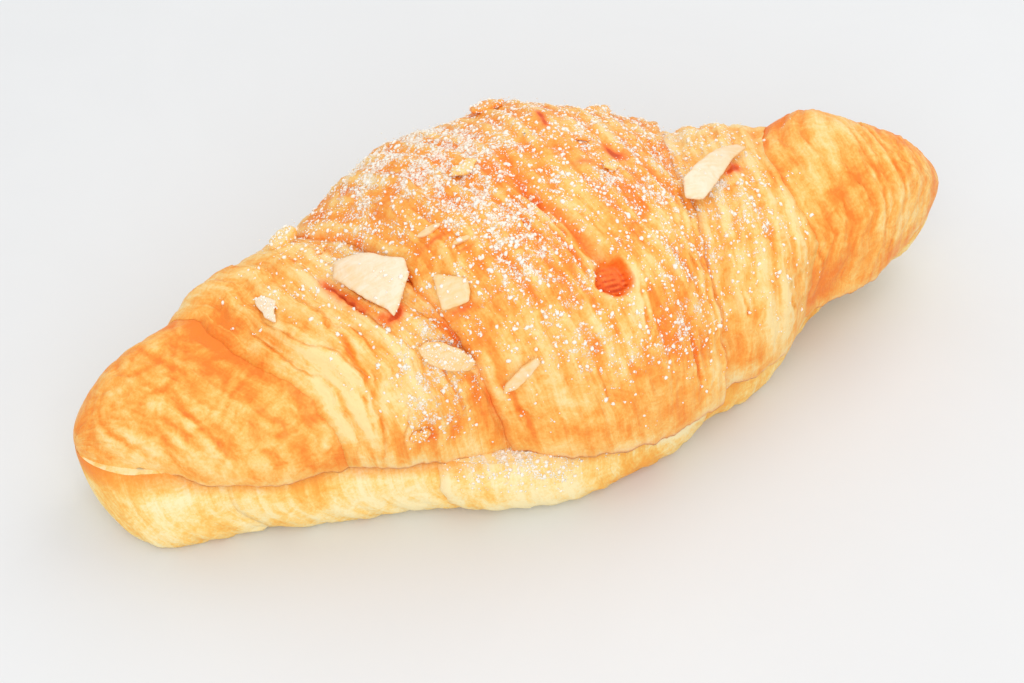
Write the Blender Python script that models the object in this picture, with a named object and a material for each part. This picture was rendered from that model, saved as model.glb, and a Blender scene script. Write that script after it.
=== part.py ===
"""Almond croissant, sliced through for its filling: a base, a lid and the almond slices on it.

The roll lies along X, its left end at -X and its front at -Y, and rests on Z = 0. Metres,
with the tables in millimetres. A ring of points goes round each half at every column, and
the columns follow the seams between the wraps of dough, so that each wrap ends in a crisp
ledge over the next one.
"""

import math
from typing import NamedTuple

import bmesh
import bpy
import numpy as np
from mathutils import Matrix, Vector, noise
from mathutils.bvhtree import BVHTree

MM = 0.001
LENGTH = 190 * MM
GAP = 0.4 * MM  # between any two solids that touch
TIP_LENGTH = 15 * MM  # how far each blunt end takes to close
TIP_BLUNT = 2.5  # exponent of that closing: 2 is an ellipse, more is blunter
TIP_SWEEP = 4.5 * MM  # how far both ends bend back
DOME = 2.35  # exponent of the lid's section: 2 is an ellipse, more is fuller
FLATTENING = 1.5 * MM  # how far the base's section would reach below what it flattens on
LIP_TUCK = 1.1 * MM  # how far the lid's edge curls in at the slice
LIP_HEIGHT = 3 * MM
RIM_TUCK = 2 * MM  # how far the base's rim rounds in below the slice
RIM_HEIGHT = 2 * MM
LEDGE_ROUND = 1.3 * MM  # width of the rounding on a wrap's edge
LEDGE_SOFT = 0.35  # share of a ledge's height that the rounding takes

LID_RING = 28  # steps over the dome
BASE_RING = 22  # steps under the base
CUT_RING = 4  # steps across a cut face
LID_STEP = 2.2 * MM  # from one column to the next
BASE_STEP = 3.2 * MM


class Section(NamedTuple):
    """The roll's section at one place along it, in millimetres."""

    x: float
    front: float  # reach of the lid in front of the spine
    back: float  # and behind it
    top: float
    cut: float  # height of the slice between base and lid
    foot: float  # reach of the base in front of the spine
    under: float  # height of the underside
    keel: float  # exponent of the base's section: 2 is an ellipse, more is squarer


SECTIONS = (
    Section(x=-95, front=8, back=8, top=24, cut=17, foot=11, under=0.5, keel=4.5),
    Section(x=-84, front=13, back=13.5, top=28.5, cut=19.2, foot=16.5, under=0, keel=5),
    Section(x=-68, front=23, back=21, top=34.5, cut=18.8, foot=20.5, under=0, keel=5.5),
    Section(x=-45, front=26, back=31, top=45.5, cut=18, foot=24, under=0, keel=5.5),
    Section(x=-18, front=31.5, back=39, top=57, cut=16.2, foot=33.5, under=0, keel=5.5),
    Section(x=6, front=37, back=43, top=60, cut=15, foot=34, under=0, keel=5.5),
    Section(x=30, front=31, back=37, top=50.5, cut=13.8, foot=27, under=0, keel=5),
    Section(x=52, front=23, back=30, top=44, cut=14.5, foot=19, under=0.5, keel=3.8),
    Section(x=72, front=16, back=23, top=41, cut=16.5, foot=12.5, under=4.5, keel=2.5),
    Section(x=86, front=10, back=16, top=37, cut=18.5, foot=8.5, under=8, keel=2.2),
    Section(x=95, front=6, back=10, top=29, cut=20, foot=5, under=11, keel=2),
)


class Seam(NamedTuple):
    """The edge of a wrap, by the X of the places that it crosses, in millimetres."""

    crossings: tuple  # at the slice in front, front shoulder, ridge, back shoulder, slice behind
    drop: float  # height of its ledge
    over: int  # which neighbour the wrap lies over: -1 the left one, 1 the right one, 0 neither


LID_SEAMS = (
    Seam(crossings=(-48, -53.5, -63, -71, -75), drop=2.8, over=-1),
    Seam(crossings=(-17, -25, -32.5, -44, -49), drop=3.2, over=-1),
    Seam(crossings=(12, 7.5, -3.5, -6, -10), drop=0, over=0),
    Seam(crossings=(28, 27, 30, 38, 42), drop=3.4, over=1),
    Seam(crossings=(52, 54.5, 52.5, 61, 64), drop=2.8, over=1),
)
BASE_SEAMS = (
    Seam(crossings=(-71, -62, -60, -62, -68), drop=1.6, over=-1),
    Seam(crossings=(-32, -26, -24, -28, -36), drop=1.2, over=-1),
    Seam(crossings=(27, 25, 26, 28, 32), drop=1.4, over=1),
    Seam(crossings=(52, 50, 51, 54, 58), drop=1.2, over=1),
)
CREASE = LID_SEAMS[2]  # the fold that runs over the middle wrap
CREASE_DEPTH = 2.4 * MM
CREASE_WIDTH = 1.8 * MM
CREASE_SPAN = (-0.42, 0.04)  # from its front end to its back end
PIT = (7.0, -0.45)  # X in millimetres and side of the hole at the crease's front end
PIT_DEPTH = 3.4 * MM
PIT_RADIUS = 3.2 * MM
PUFF = 0.7 * MM  # how far a wrap swells between its seams
RIDGE_PITCH = 5.5 * MM  # of the long ridges of the layers, along the seams
RIDGES = (0.15, 0.5, 0.3, 0.3, 0.35, 0.2)  # their height on each wrap, in millimetres
LUMP_HEIGHT = 0.8 * MM
LUMP_SIZE = 15 * MM
PROUD = 0.7  # share of a scrap's thickness that stands out of the lid


class Flake(NamedTuple):
    """A thin piece on the lid: its place, its outline there and how it is lifted."""

    name: str
    x: float  # millimetres
    side: float  # from -1 at the slice in front to 1 at the slice behind
    outline: tuple  # corners in millimetres, along the roll and up over it from its place
    thick: float
    bend: float = 0.0  # millimetres that its far ends curl down at 10 mm out
    pitch: float = 0.0  # degrees that its front edge is raised
    roll: float = 0.0  # degrees that its left edge is raised


OVAL = ((-1, 0), (-0.72, 0.68), (0, 1), (0.76, 0.66), (1, 0), (0.7, -0.7), (0, -1), (-0.74, -0.66))


def oval(length, width):
    return tuple((length / 2 * u, width / 2 * v) for u, v in OVAL)


ALMOND_SLICES = (
    Flake("almond_slice_1", -36, -0.13,
          ((-6, 8.7), (-1.5, 8.2), (2.3, 5.8), (7.2, 0.2), (5.6, -4.8), (1.6, -9), (-0.6, -6.8),
           (-5.6, -0.3)),
          thick=0.9, bend=1.2, pitch=5, roll=4),
    Flake("almond_slice_2", -24.3, -0.33, ((-2.3, 4.6), (1, 2.8), (4, 1.2), (2.9, -2.9), (-2.8, -3.2)),
          thick=0.9, bend=1.0, pitch=4),
    Flake("almond_slice_3", -28.3, -0.56,
          ((-5, 2.3), (-3.4, 3.6), (-0.4, 3.1), (3, 0.7), (5.4, -2.3), (3.7, -3.7), (0, -3), (-3.6, -0.7)),
          thick=0.9, bend=1.6),
    Flake("almond_slice_4", -15.8, -0.69,
          ((-3.8, -3), (-3.1, -1.2), (0.3, 1.7), (3.4, 3.3), (4.2, 2.1), (2, -0.1), (-1.2, -2.6)),
          thick=1.1),
    Flake("almond_slice_5", 34.9, -0.07,
          ((-9.7, -6.6), (-8, -1.6), (-3, 2.2), (4, 6.6), (11.5, 9.4), (13.4, 8.4), (7, 4), (2.6, 0),
           (-1.4, -3.7), (-6.2, -7.6)),
          thick=0.9, bend=0.7),
)
SCRAPS = (
    Flake("scrap", -54.5, 0.02, ((-1.6, 4.6), (1.2, 3.4), (1.9, -1.2), (-0.6, -4.8), (-1.9, -2)),
          thick=1.4),
    Flake("scrap", -12.3, 0.07, oval(6.2, 4.6), thick=1.5),
    Flake("scrap", -45.6, 0.36, oval(6.5, 4.5), thick=2.2, pitch=-14),
    Flake("scrap", 13.7, -0.04, oval(4.2, 3.4), thick=1.6, roll=12),
    Flake("scrap", -23.7, -0.06, oval(5.4, 2.6), thick=1.6, pitch=10),
    Flake("scrap", -19.3, -0.16, oval(3.4, 2.2), thick=1.5),
    Flake("scrap", -35.3, -0.85, oval(4.6, 3.4), thick=1.4),
    Flake("scrap", 23, 0.36, ((-4.2, -2), (-1, 2), (3.6, 4.4), (3.8, 1), (1, -2.6)), thick=1.6, pitch=-18),
    Flake("scrap", 1.5, 0.42, ((-4, -2), (-3, 2.2), (2, 3), (4, -1), (0, -3)), thick=1.6, pitch=-12),
)


def curve(knots, values, at):
    """A smooth curve through the values at the knots."""
    knots = np.asarray(knots, float)
    values = np.asarray(values, float)
    at = np.clip(at, knots[0], knots[-1])
    slopes = np.gradient(values, knots)
    i = np.clip(np.searchsorted(knots, at) - 1, 0, len(knots) - 2)
    span = knots[i + 1] - knots[i]
    t = (at - knots[i]) / span
    return (
        (1 + 2 * t) * (1 - t) ** 2 * values[i]
        + t * (1 - t) ** 2 * span * slopes[i]
        + t**2 * (3 - 2 * t) * values[i + 1]
        - t**2 * (1 - t) * span * slopes[i + 1]
    )


def along(size, x):
    """One of the section's sizes at X, turned from millimetres to metres."""
    knots = [section.x * MM for section in SECTIONS]
    return curve(knots, [getattr(section, size) * MM for section in SECTIONS], x)


def crossing(seam, side):
    """X of the seam at side, in metres."""
    return curve((-1, -0.5, 0, 0.5, 1), seam.crossings, side) * MM


def closing(x):
    """1 along the roll, and down to 0 round each tip."""
    into = np.clip((np.abs(x) - LENGTH / 2 + TIP_LENGTH) / TIP_LENGTH, 0, 1)
    return (1 - into**TIP_BLUNT) ** (1 / TIP_BLUNT)


def spine(x):
    return TIP_SWEEP * (x / (LENGTH / 2)) ** 4


def power(base, exponent):
    return np.sign(base) * np.abs(base) ** exponent


def lid_skin(x, side):
    """The lid's outer surface without its ledges, as y and z."""
    turn = math.pi / 2 * (1 + side)
    reach = np.where(side < 0, along("front", x), along("back", x)) * closing(x)
    rise = np.abs(np.sin(turn)) ** (2 / DOME) * (along("top", x) - along("cut", x)) * closing(x)
    tuck = LIP_TUCK * np.exp(-rise / LIP_HEIGHT) * closing(x)
    y = spine(x) - power(np.cos(turn), 2 / DOME) * reach - np.sign(side) * tuck
    return y, along("cut", x) + rise


def base_skin(x, side):
    """The base's outer surface without its ledges, as y and z."""
    turn = math.pi / 2 * (1 + side)
    reach = np.where(side < 0, along("foot", x), along("back", x)) * closing(x)
    keel = along("keel", x) / MM
    depth = along("cut", x) - along("under", x) + FLATTENING
    down = np.abs(np.sin(turn)) ** (2 / keel) * depth * closing(x)
    tuck = RIM_TUCK * np.exp(-down / RIM_HEIGHT) * closing(x)
    y = spine(x) - power(np.cos(turn), 2 / keel) * reach - np.sign(side) * tuck
    return y, along("cut", x) - down


def swell(seams, k, share, side):
    """How far wrap k swells between its seams, and the ridges that run along it."""
    length = band_length(seams, k)
    ridges = RIDGES[k] * MM * np.sin(2 * math.pi * share * length / RIDGE_PITCH)
    return (PUFF * (np.sin(math.pi * share) - 0.5) + ridges) * (1 - np.abs(side) ** 6)


def lid_relief(k, share, x, side):
    """How far the lid's crust stands proud of its skin: swells, ridges, the crease and its pit."""
    start, end = CREASE_SPAN
    inside = 1 / (1 + np.exp((start - side) / 0.03)) / (1 + np.exp((side - end) / 0.05))
    crease = CREASE_DEPTH * np.exp(-(((x - crossing(CREASE, side)) / CREASE_WIDTH) ** 2)) * inside
    arc = (side - PIT[1]) * along("top", x)
    pit = PIT_DEPTH * np.exp(-((x - PIT[0] * MM) ** 2 + arc**2) / PIT_RADIUS**2)
    return swell(LID_SEAMS, k, share, side) - crease - pit


def base_relief(k, share, _, side):
    """How far the base's crust stands proud of its skin."""
    return swell(BASE_SEAMS, k, share, side)


def edge(seams, k, side):
    """X of the left edge of band k, with the tips as the outer edges."""
    if k == 0:
        return np.full_like(side, -LENGTH / 2)
    if k > len(seams):
        return np.full_like(side, LENGTH / 2)
    return crossing(seams[k - 1], side)


def band_length(seams, k):
    """How long band k is on the ridge."""
    return float(edge(seams, k + 1, np.zeros(1))[0] - edge(seams, k, np.zeros(1))[0])


def shares_of(seams, k, step):
    """Where the columns of band k stand, from 0 at its left edge to 1 at its right one."""
    length = band_length(seams, k)
    shares = np.linspace(0, 1, max(4, round(length / step)) + 1)
    rounding = LEDGE_ROUND / length
    if k == 0:
        return np.append(1 - np.cos(shares[:-1] * math.pi / 2), (1 - rounding, 1))
    if k == len(seams):
        return np.insert(np.sin(shares[1:] * math.pi / 2), 0, (0, rounding))
    return np.concatenate([[0], np.linspace(rounding, 1 - rounding, len(shares)), [1]])


def ledge(seams, k, share):
    """How far band k lies below the skin: it dives under the wraps over it and rounds off on top."""
    depth = 0.0
    if k < len(seams):
        drop = seams[k].drop * MM
        depth += drop * share**2 if seams[k].over < 0 else drop * LEDGE_SOFT * (share == 1)
    if k > 0:
        drop = seams[k - 1].drop * MM
        depth += drop * (1 - share) ** 2 if seams[k - 1].over > 0 else drop * LEDGE_SOFT * (share == 0)
    return depth


def lumps(x, y, z):
    """Uneven lumps of the dough at each point."""
    points = np.stack([x, y, z], 1) / LUMP_SIZE
    return LUMP_HEIGHT * np.array([noise.noise(Vector(point)) for point in points])


def rings(skin, relief, seams, ring, step):
    """(columns, points, 3): over the skin from front to back, then back across the cut."""
    side = np.linspace(-1, 1, ring + 1)
    found = []
    for k in range(len(seams) + 1):
        for share in shares_of(seams, k, step):
            x = edge(seams, k, side) * (1 - share) + edge(seams, k + 1, side) * share
            y, z = skin(x, side)
            cut = along("cut", x)
            arm = np.stack([y - spine(x), z - cut])
            arm /= np.maximum(np.linalg.norm(arm, axis=0), 1e-9)
            proud = relief(k, share, x, side) + lumps(x, y, z) - ledge(seams, k, share)
            y, z = np.stack([y, z]) + arm * proud * closing(x)
            outer = np.stack([x, y, np.maximum(z, 0)], 1)
            across = np.linspace(0, 1, CUT_RING + 1)[1:-1, None]
            face = outer[-1] * (1 - across) + outer[0] * across
            face[:, 2] = along("cut", face[:, 0])
            found.append(np.concatenate([outer, face]))
    return np.array(found)


def make_object(name, mesh):
    bmesh.ops.triangulate(mesh, faces=mesh.faces)
    bmesh.ops.recalc_face_normals(mesh, faces=mesh.faces)
    data = bpy.data.meshes.new(name)
    mesh.to_mesh(data)
    mesh.free()
    data.shade_smooth()
    data.set_sharp_from_angle(angle=math.radians(40))
    made = bpy.data.objects.new(name, data)
    bpy.context.scene.collection.objects.link(made)
    return made


def loft(name, found):
    """An object whose surface runs through the rings, closed at each end."""
    ring = found.shape[1]
    mesh = bmesh.new()
    grid = [[mesh.verts.new(point) for point in column] for column in found]
    for a, b in zip(grid, grid[1:]):
        for i in range(ring):
            j = (i + 1) % ring
            mesh.faces.new((a[i], b[i], b[j], a[j]))
    mesh.faces.new(grid[0][::-1])
    mesh.faces.new(grid[-1])
    bmesh.ops.remove_doubles(mesh, verts=mesh.verts, dist=0.01 * MM)
    return make_object(name, mesh)


def lid_frame(flake):
    """The place on the lid's skin where a flake lies: along the roll, up over it, and outward."""
    steps = np.array([(0, 0), (-2 * MM, 0), (2 * MM, 0), (0, -0.08), (0, 0.08)])
    x = flake.x * MM + steps[:, 0]
    y, z = lid_skin(x, flake.side + steps[:, 1])
    spot, left, right, before, behind = [Vector(point) for point in np.stack([x, y, z], 1)]
    out = (right - left).cross(behind - before).normalized()
    run = (Vector((1, 0, 0)) - out * out.x).normalized()
    frame = Matrix((run, out.cross(run), out)).transposed().to_4x4()
    frame.translation = spot
    raised = Matrix.Rotation(math.radians(-flake.pitch), 4, "X")
    return frame @ raised @ Matrix.Rotation(math.radians(flake.roll), 4, "Y")


def round_off(corners):
    """The outline with its corners cut once."""
    cut = []
    for a, b in zip(corners, corners[1:] + corners[:1]):
        cut += [a.lerp(b, 0.22), a.lerp(b, 0.78)]
    return cut


def flake_mesh(flake):
    """A thin bent plate in its own frame, over a centre point and two rings on each face."""
    rim = round_off([Vector((u * MM, v * MM, 0)) for u, v in flake.outline])
    centre = sum(rim, Vector()) / len(rim)
    mesh = bmesh.new()
    rows = []
    for height in (-0.5, 0.5):
        layer = []
        for share in (0, 0.6, 1):
            round_edge = 0.75 if share == 1 else 1
            spots = [centre] if share == 0 else [centre.lerp(point, share) for point in rim]
            sag = [flake.bend * MM * (spot.length / (10 * MM)) ** 2 for spot in spots]
            lift = height * flake.thick * MM * round_edge
            layer.append([mesh.verts.new((p.x, p.y, lift - s)) for p, s in zip(spots, sag)])
        rows.append(layer)
    count = len(rim)
    for centre_row, middle, outer in rows:
        for i in range(count):
            j = (i + 1) % count
            mesh.faces.new((centre_row[0], middle[i], middle[j]))
            mesh.faces.new((middle[i], outer[i], outer[j], middle[j]))
    for i in range(count):
        j = (i + 1) % count
        mesh.faces.new((rows[0][2][i], rows[0][2][j], rows[1][2][j], rows[1][2][i]))
    return mesh


def clearances(mesh, frame, ground):
    """How far each point on a flake's underside stands over the ground, along the flake's frame."""
    out = frame.to_3x3() @ Vector((0, 0, 1))
    found = []
    middles = [(edge.verts[0].co + edge.verts[1].co) / 2 for edge in mesh.edges]
    for point in [vert.co for vert in mesh.verts] + middles:
        spot = frame @ point
        hit = ground.ray_cast(spot + out * 20 * MM, -out)[0]
        if hit:
            found.append((spot - hit).dot(out))
    return found


def make_flake(flake, ground, sunk):
    """A flake on the lid, clear of it by the gap or, sunk, joined to it."""
    mesh = flake_mesh(flake)
    frame = lid_frame(flake)
    heights = clearances(mesh, frame, ground)
    lift = 1.2 * GAP - min(heights)
    if sunk:
        lift = PROUD * flake.thick * MM - np.percentile(heights, 75)
    frame.translation += frame.to_3x3() @ Vector((0, 0, lift))
    mesh.transform(frame)
    return make_object(flake.name, mesh)


def ground_of(lid):
    data = lid.data
    corners = [tuple(face.vertices) for face in data.polygons]
    return BVHTree.FromPolygons([vert.co for vert in data.vertices], corners)


def fuse(body, pieces):
    """Joins the pieces to the body as one closed solid."""
    group = bpy.data.collections.new("scraps")
    bpy.context.scene.collection.children.link(group)
    for piece in pieces:
        bpy.context.scene.collection.objects.unlink(piece)
        group.objects.link(piece)
    union = body.modifiers.new("scraps", "BOOLEAN")
    union.operation = "UNION"
    union.operand_type = "COLLECTION"
    union.collection = group
    union.solver = "MANIFOLD"
    fused = bpy.data.meshes.new_from_object(body.evaluated_get(bpy.context.evaluated_depsgraph_get()))
    body.modifiers.clear()
    body.data = fused
    for piece in pieces:
        bpy.data.objects.remove(piece, do_unlink=True)
    bpy.data.collections.remove(group)


def finish(piece, name, colour, roughness):
    """Gives the piece its material."""
    material = bpy.data.materials.new(name)
    material.use_nodes = True
    shader = material.node_tree.nodes["Principled BSDF"]
    shader.inputs["Base Color"].default_value = (*colour, 1)
    shader.inputs["Roughness"].default_value = roughness
    shader.inputs["Metallic"].default_value = 0
    piece.data.materials.clear()
    piece.data.materials.append(material)


def main():
    for old in list(bpy.data.objects):
        bpy.data.objects.remove(old, do_unlink=True)
    base_rings = rings(base_skin, base_relief, BASE_SEAMS, BASE_RING, BASE_STEP)
    base = loft("base", base_rings)
    finish(base, "pale_crust", colour=(0.90, 0.62, 0.25), roughness=0.6)

    lid_rings = rings(lid_skin, lid_relief, LID_SEAMS, LID_RING, LID_STEP)
    lid_rings[:, :, 2] += GAP
    lid = loft("lid", lid_rings)
    ground = ground_of(lid)
    for flake in ALMOND_SLICES:
        almond = make_flake(flake, ground, sunk=False)
        finish(almond, flake.name, colour=(0.93, 0.80, 0.60), roughness=0.55)
    fuse(lid, [make_flake(flake, ground, sunk=True) for flake in SCRAPS])
    finish(lid, "brown_crust", colour=(0.85, 0.42, 0.12), roughness=0.5)


main()
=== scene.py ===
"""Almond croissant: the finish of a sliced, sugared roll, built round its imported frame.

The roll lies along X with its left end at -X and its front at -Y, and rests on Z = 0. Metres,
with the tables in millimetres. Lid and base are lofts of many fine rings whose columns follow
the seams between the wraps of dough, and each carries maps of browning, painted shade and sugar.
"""

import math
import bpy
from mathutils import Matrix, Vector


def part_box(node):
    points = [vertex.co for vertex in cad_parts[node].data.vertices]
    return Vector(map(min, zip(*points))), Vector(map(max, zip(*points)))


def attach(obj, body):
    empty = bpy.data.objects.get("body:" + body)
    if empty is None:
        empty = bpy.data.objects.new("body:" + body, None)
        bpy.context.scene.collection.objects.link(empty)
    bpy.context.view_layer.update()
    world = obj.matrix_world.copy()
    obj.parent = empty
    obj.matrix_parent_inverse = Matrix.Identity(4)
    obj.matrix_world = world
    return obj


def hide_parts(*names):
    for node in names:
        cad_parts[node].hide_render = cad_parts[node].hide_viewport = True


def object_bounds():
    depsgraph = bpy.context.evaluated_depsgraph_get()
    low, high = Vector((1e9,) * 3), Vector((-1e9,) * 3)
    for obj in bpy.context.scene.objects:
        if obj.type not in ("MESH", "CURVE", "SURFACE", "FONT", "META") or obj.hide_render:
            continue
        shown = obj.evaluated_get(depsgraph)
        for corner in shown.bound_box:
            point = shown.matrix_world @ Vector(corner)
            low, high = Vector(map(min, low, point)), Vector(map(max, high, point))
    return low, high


bl_info = {
    "name": "Almond Croissant",
    "version": (1, 0, 0),
    "blender": (4, 5, 0),
    "location": "View3D > Sidebar > Croissant",
    "description": "Builds a baked, sugared almond croissant round its packed frame",
    "category": "Add Mesh",
}

from typing import NamedTuple

import bpy
import numpy as np
from bpy.props import FloatProperty, FloatVectorProperty, IntProperty, PointerProperty
from mathutils import Matrix, Vector, noise
from mathutils.bvhtree import BVHTree

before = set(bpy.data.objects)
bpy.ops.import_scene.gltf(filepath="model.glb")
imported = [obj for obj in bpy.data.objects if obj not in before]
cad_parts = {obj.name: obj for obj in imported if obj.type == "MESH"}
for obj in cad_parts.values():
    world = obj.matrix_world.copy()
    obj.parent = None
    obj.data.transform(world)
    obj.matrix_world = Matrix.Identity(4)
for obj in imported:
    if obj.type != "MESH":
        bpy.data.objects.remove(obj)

MM = 0.001
CAD_LOW, CAD_HIGH = [np.array(corner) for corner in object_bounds()]
LENGTH = CAD_HIGH[0] - CAD_LOW[0]
BODY = "root"

# The roll's form, as the frame has it
GAP = 0.4 * MM  # between the base and the lid
TIP_LENGTH = 15 * MM  # how far each blunt end takes to close
TIP_BLUNT = 2.5
TIP_SWEEP = 4.5 * MM  # how far both ends bend back
DOME = 2.35  # exponent of the lid's section: 2 is an ellipse, more is fuller
FLATTENING = 1.5 * MM  # how far the base's section would reach below what it flattens on
LIP_TUCK = 1.1 * MM  # how far the lid's lower edge draws in
LIP_HEIGHT = 3 * MM  # and over what height it does
RIM_TUCK = 2 * MM  # the same for the base's upper edge
RIM_HEIGHT = 2 * MM
LEFT_TUCK = 1.8 * MM  # how much further it draws in near the left end
LEFT_TUCK_AT = (-82 * MM, 16 * MM)  # the middle of that stretch, and its reach along the roll
PUFF = 0.7 * MM  # how far a wrap swells between its seams
RIDGE_PITCH = 5.5 * MM  # from one long ridge to the next
RIDGES = (0.15, 0.5, 0.3, 0.3, 0.35, 0.2)  # height of the long ridges on each wrap, in millimetres
LAYERED = (0.45, 1.15, 0.85, 0.6, 0.85, 0.8)  # how strongly overlapping layers show on each wrap
LAYER_WAY = (1, 1, 1, -1, -1, 1)  # and which way each drops
LAYER_PITCHES = (4.6 * MM, 1.7 * MM)  # from one broad layer to the next, and from one fine one
LAYER_HEIGHTS = (0.85 * MM, 0.34 * MM)
BASE_LAYER_PITCH = 4.2 * MM
BASE_LAYER_HEIGHT = 0.4 * MM
WRINKLED = (1.0, 0.5, 0.6, 0.6, 0.4, 0.2)  # how wrinkled each wrap is
WRINKLE_SIZES = (7 * MM, 2.8 * MM)  # across a broad wrinkle and a fine one
WRINKLE_DEPTHS = (0.28 * MM, 0.11 * MM)
BLISTER_HEIGHT = 0.24 * MM
GRAIN_HEIGHT = 0.1 * MM  # of the finest unevenness
BARED_HEIGHT = 0.3 * MM  # of the layers bared in the pit
PLEAT_HEIGHT = 0.4 * MM  # of the pleats that run into the right ledge of the middle wrap
PLEAT_PITCH = 2.1 * MM
CREASE_FOLDS = 0.5 * MM  # height of the folds beside the crease
CREASE_FOLD_PITCH = 2.4 * MM
LUMP_HEIGHT = 0.8 * MM  # of the broad unevenness of the whole roll
LUMP_SIZE = 15 * MM
BASE_RIDGES = 0.14 * MM  # height of the long ridges on the base
CREASE_DEPTH = 1.7 * MM
CREASE_WIDTH = 1.4 * MM
CREASE_SPAN = (-0.44, 0.01)  # from its front end to its back end
PIT = (5.2, -0.432)  # X in millimetres and side of the hole at the crease's front end
PIT_DEPTH = 3.8 * MM
PIT_REACH = (3.9 * MM, 4.0 * MM)  # half its length along the roll and up over it
PIT_LAYER = 1.15 * MM  # from one bared layer in it to the next

# How finely it is laid out
LID_STEP = 0.46 * MM  # from one column to the next
LID_RING = 226  # steps over the dome
BASE_STEP = 0.75 * MM
BASE_RING = 120
CUT_SHARES = (0.006, 0.02, 0.045, 0.09, 0.2, 0.4, 0.6, 0.8, 0.91, 0.955, 0.98, 0.994)
LAP_WIDTH = 1.2 * MM  # how much of a wrap its rounded edge takes
TUCKED = 1.1 * MM  # how far the lower wrap goes on under the upper one
HALF_GIRTH = 55 * MM  # from the ridge down to the slice, along the crust
SKIN_IN = 0.35 * MM  # how far the crust stays within the frame, so that its detail stays inside it
HELD_IN = 0.5 * MM  # how softly it is held inside the frame's box
FLOW_APART = 83 * MM  # keeps the pattern of one wrap from going on into the next
EDGES_APART = 40 * MM  # and the torn edge in front from being like the one behind
TORN_WAVES = ((0.7, 8 * MM, 200.0), (0.45, 2.6 * MM, 210.0), (0.2, 0.9 * MM, 220.0))  # share, size, seed
TORN_REACH = 2.5 * MM  # how far up the crust the torn lower edge goes
IN_LAP = 0.25 * MM  # what lies deeper than this below the skin, at a wrap's edge, is under a lap
DEEPEST_SHADE = 1.4  # most shade that is painted into a crevice: over 0.9 it darkens into a painted shadow
LID_HOLLOW = 1.1 * MM  # how far each cut face is hollowed behind its edge
BASE_HOLLOW = 0.0
LID_TORN = 2.0 * MM  # how ragged the edge at the slice is
BASE_TORN = 0.5 * MM

# The wraps of the lid, counted from the left
LEFT_WRAPS = (0, 1)
MIDDLE_WRAPS = (2, 3)
RIGHT_WRAPS = (4, 5)
END_WRAPS = (0, 5)
SMOOTHER_BEHIND = (0, 1, 5)

# A wrap's edge: millimetres into the wrap, and share of the ledge's straight height below its top
LAP = (
    (0.9, 0.98), (0.35, 0.88), (0.0, 0.74), (0.28, 0.62), (0.12, 0.48), (-0.12, 0.3), (0.1, 0.13),
    (0.55, 0.03),
)


class Section(NamedTuple):
    """The roll's section at one place along it, in millimetres."""

    x: float
    front: float  # reach of the lid in front of the spine
    back: float  # and behind it
    top: float
    cut: float  # height of the slice between base and lid
    foot: float  # reach of the base in front of the spine
    under: float  # height of the underside
    keel: float  # exponent of the base's section: 2 is an ellipse, more is squarer


SECTIONS = (
    Section(x=-95, front=8, back=8, top=24, cut=17, foot=11, under=0.5, keel=4.5),
    Section(x=-84, front=13, back=13.5, top=28.5, cut=19.2, foot=16.5, under=0, keel=5),
    Section(x=-68, front=23, back=21, top=34.5, cut=18.8, foot=20.5, under=0, keel=5.5),
    Section(x=-45, front=26, back=31, top=45.5, cut=18, foot=24, under=0, keel=5.5),
    Section(x=-18, front=31.5, back=39, top=57, cut=16.2, foot=33.5, under=0, keel=5.5),
    Section(x=6, front=37, back=43, top=60, cut=15, foot=34, under=0, keel=5.5),
    Section(x=30, front=31, back=37, top=50.5, cut=13.8, foot=27, under=0, keel=5),
    Section(x=52, front=23, back=30, top=44, cut=14.5, foot=19, under=0.5, keel=3.8),
    Section(x=72, front=16, back=23, top=41, cut=16.5, foot=12.5, under=4.5, keel=2.5),
    Section(x=86, front=10, back=16, top=37, cut=18.5, foot=8.5, under=8, keel=2.2),
    Section(x=95, front=6, back=10, top=29, cut=20, foot=5, under=11, keel=2),
)


class Seam(NamedTuple):
    """The edge of a wrap, by the X of the places that it crosses, in millimetres."""

    crossings: tuple  # at the slice in front, front shoulder, ridge, back shoulder, slice behind
    drop: float  # height of its ledge
    over: int  # which neighbour the wrap lies over: -1 the left one, 1 the right one, 0 neither
    crisp: float = 0.5  # share of that height that falls straight at the edge
    soft: float = 3.5  # millimetres that the rest takes to level out


LID_SEAMS = (
    Seam(crossings=(-48, -53.5, -63, -71, -75), drop=2.8, over=-1, crisp=0.03, soft=6),
    Seam(crossings=(-17, -25, -32.5, -44, -49), drop=3.2, over=-1, crisp=0.32, soft=4.5),
    Seam(crossings=(12, 7.5, -3.5, -6, -10), drop=0, over=0),
    Seam(crossings=(28, 27, 30, 38, 42), drop=3.4, over=1, crisp=0.85),
    Seam(crossings=(52, 54.5, 52.5, 61, 64), drop=2.6, over=1, crisp=0.05, soft=5),
)
BASE_SEAMS = (
    Seam(crossings=(-71, -62, -60, -62, -68), drop=1.3, over=-1, crisp=0.12, soft=3),
    Seam(crossings=(-32, -26, -24, -28, -36), drop=1.0, over=-1, crisp=0.12, soft=3),
    Seam(crossings=(27, 25, 26, 28, 32), drop=1.2, over=1, crisp=0.3),
    Seam(crossings=(52, 50, 51, 54, 58), drop=1.2, over=1),
)
MELTED = (0.9, 0.3, 1.0, 0.0, 0.85)  # how far each seam of the lid melts into its neighbour
CREASE = LID_SEAMS[2]  # the fold that runs over the middle wrap


class Patch(NamedTuple):
    """A soft patch on the crust: its place, its reach and how strong it is."""

    x: float  # millimetres
    side: float
    reach_x: float  # millimetres
    reach_side: float
    strength: float


class Fold(NamedTuple):
    """A shallow valley pressed into the lid along a line, with shade painted into it, and a pale swelling on
    each side.
    """

    path: tuple  # its corners: X in millimetres, and side
    width: float  # millimetres
    depth: float
    bake: float  # how much shade is painted into it


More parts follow.
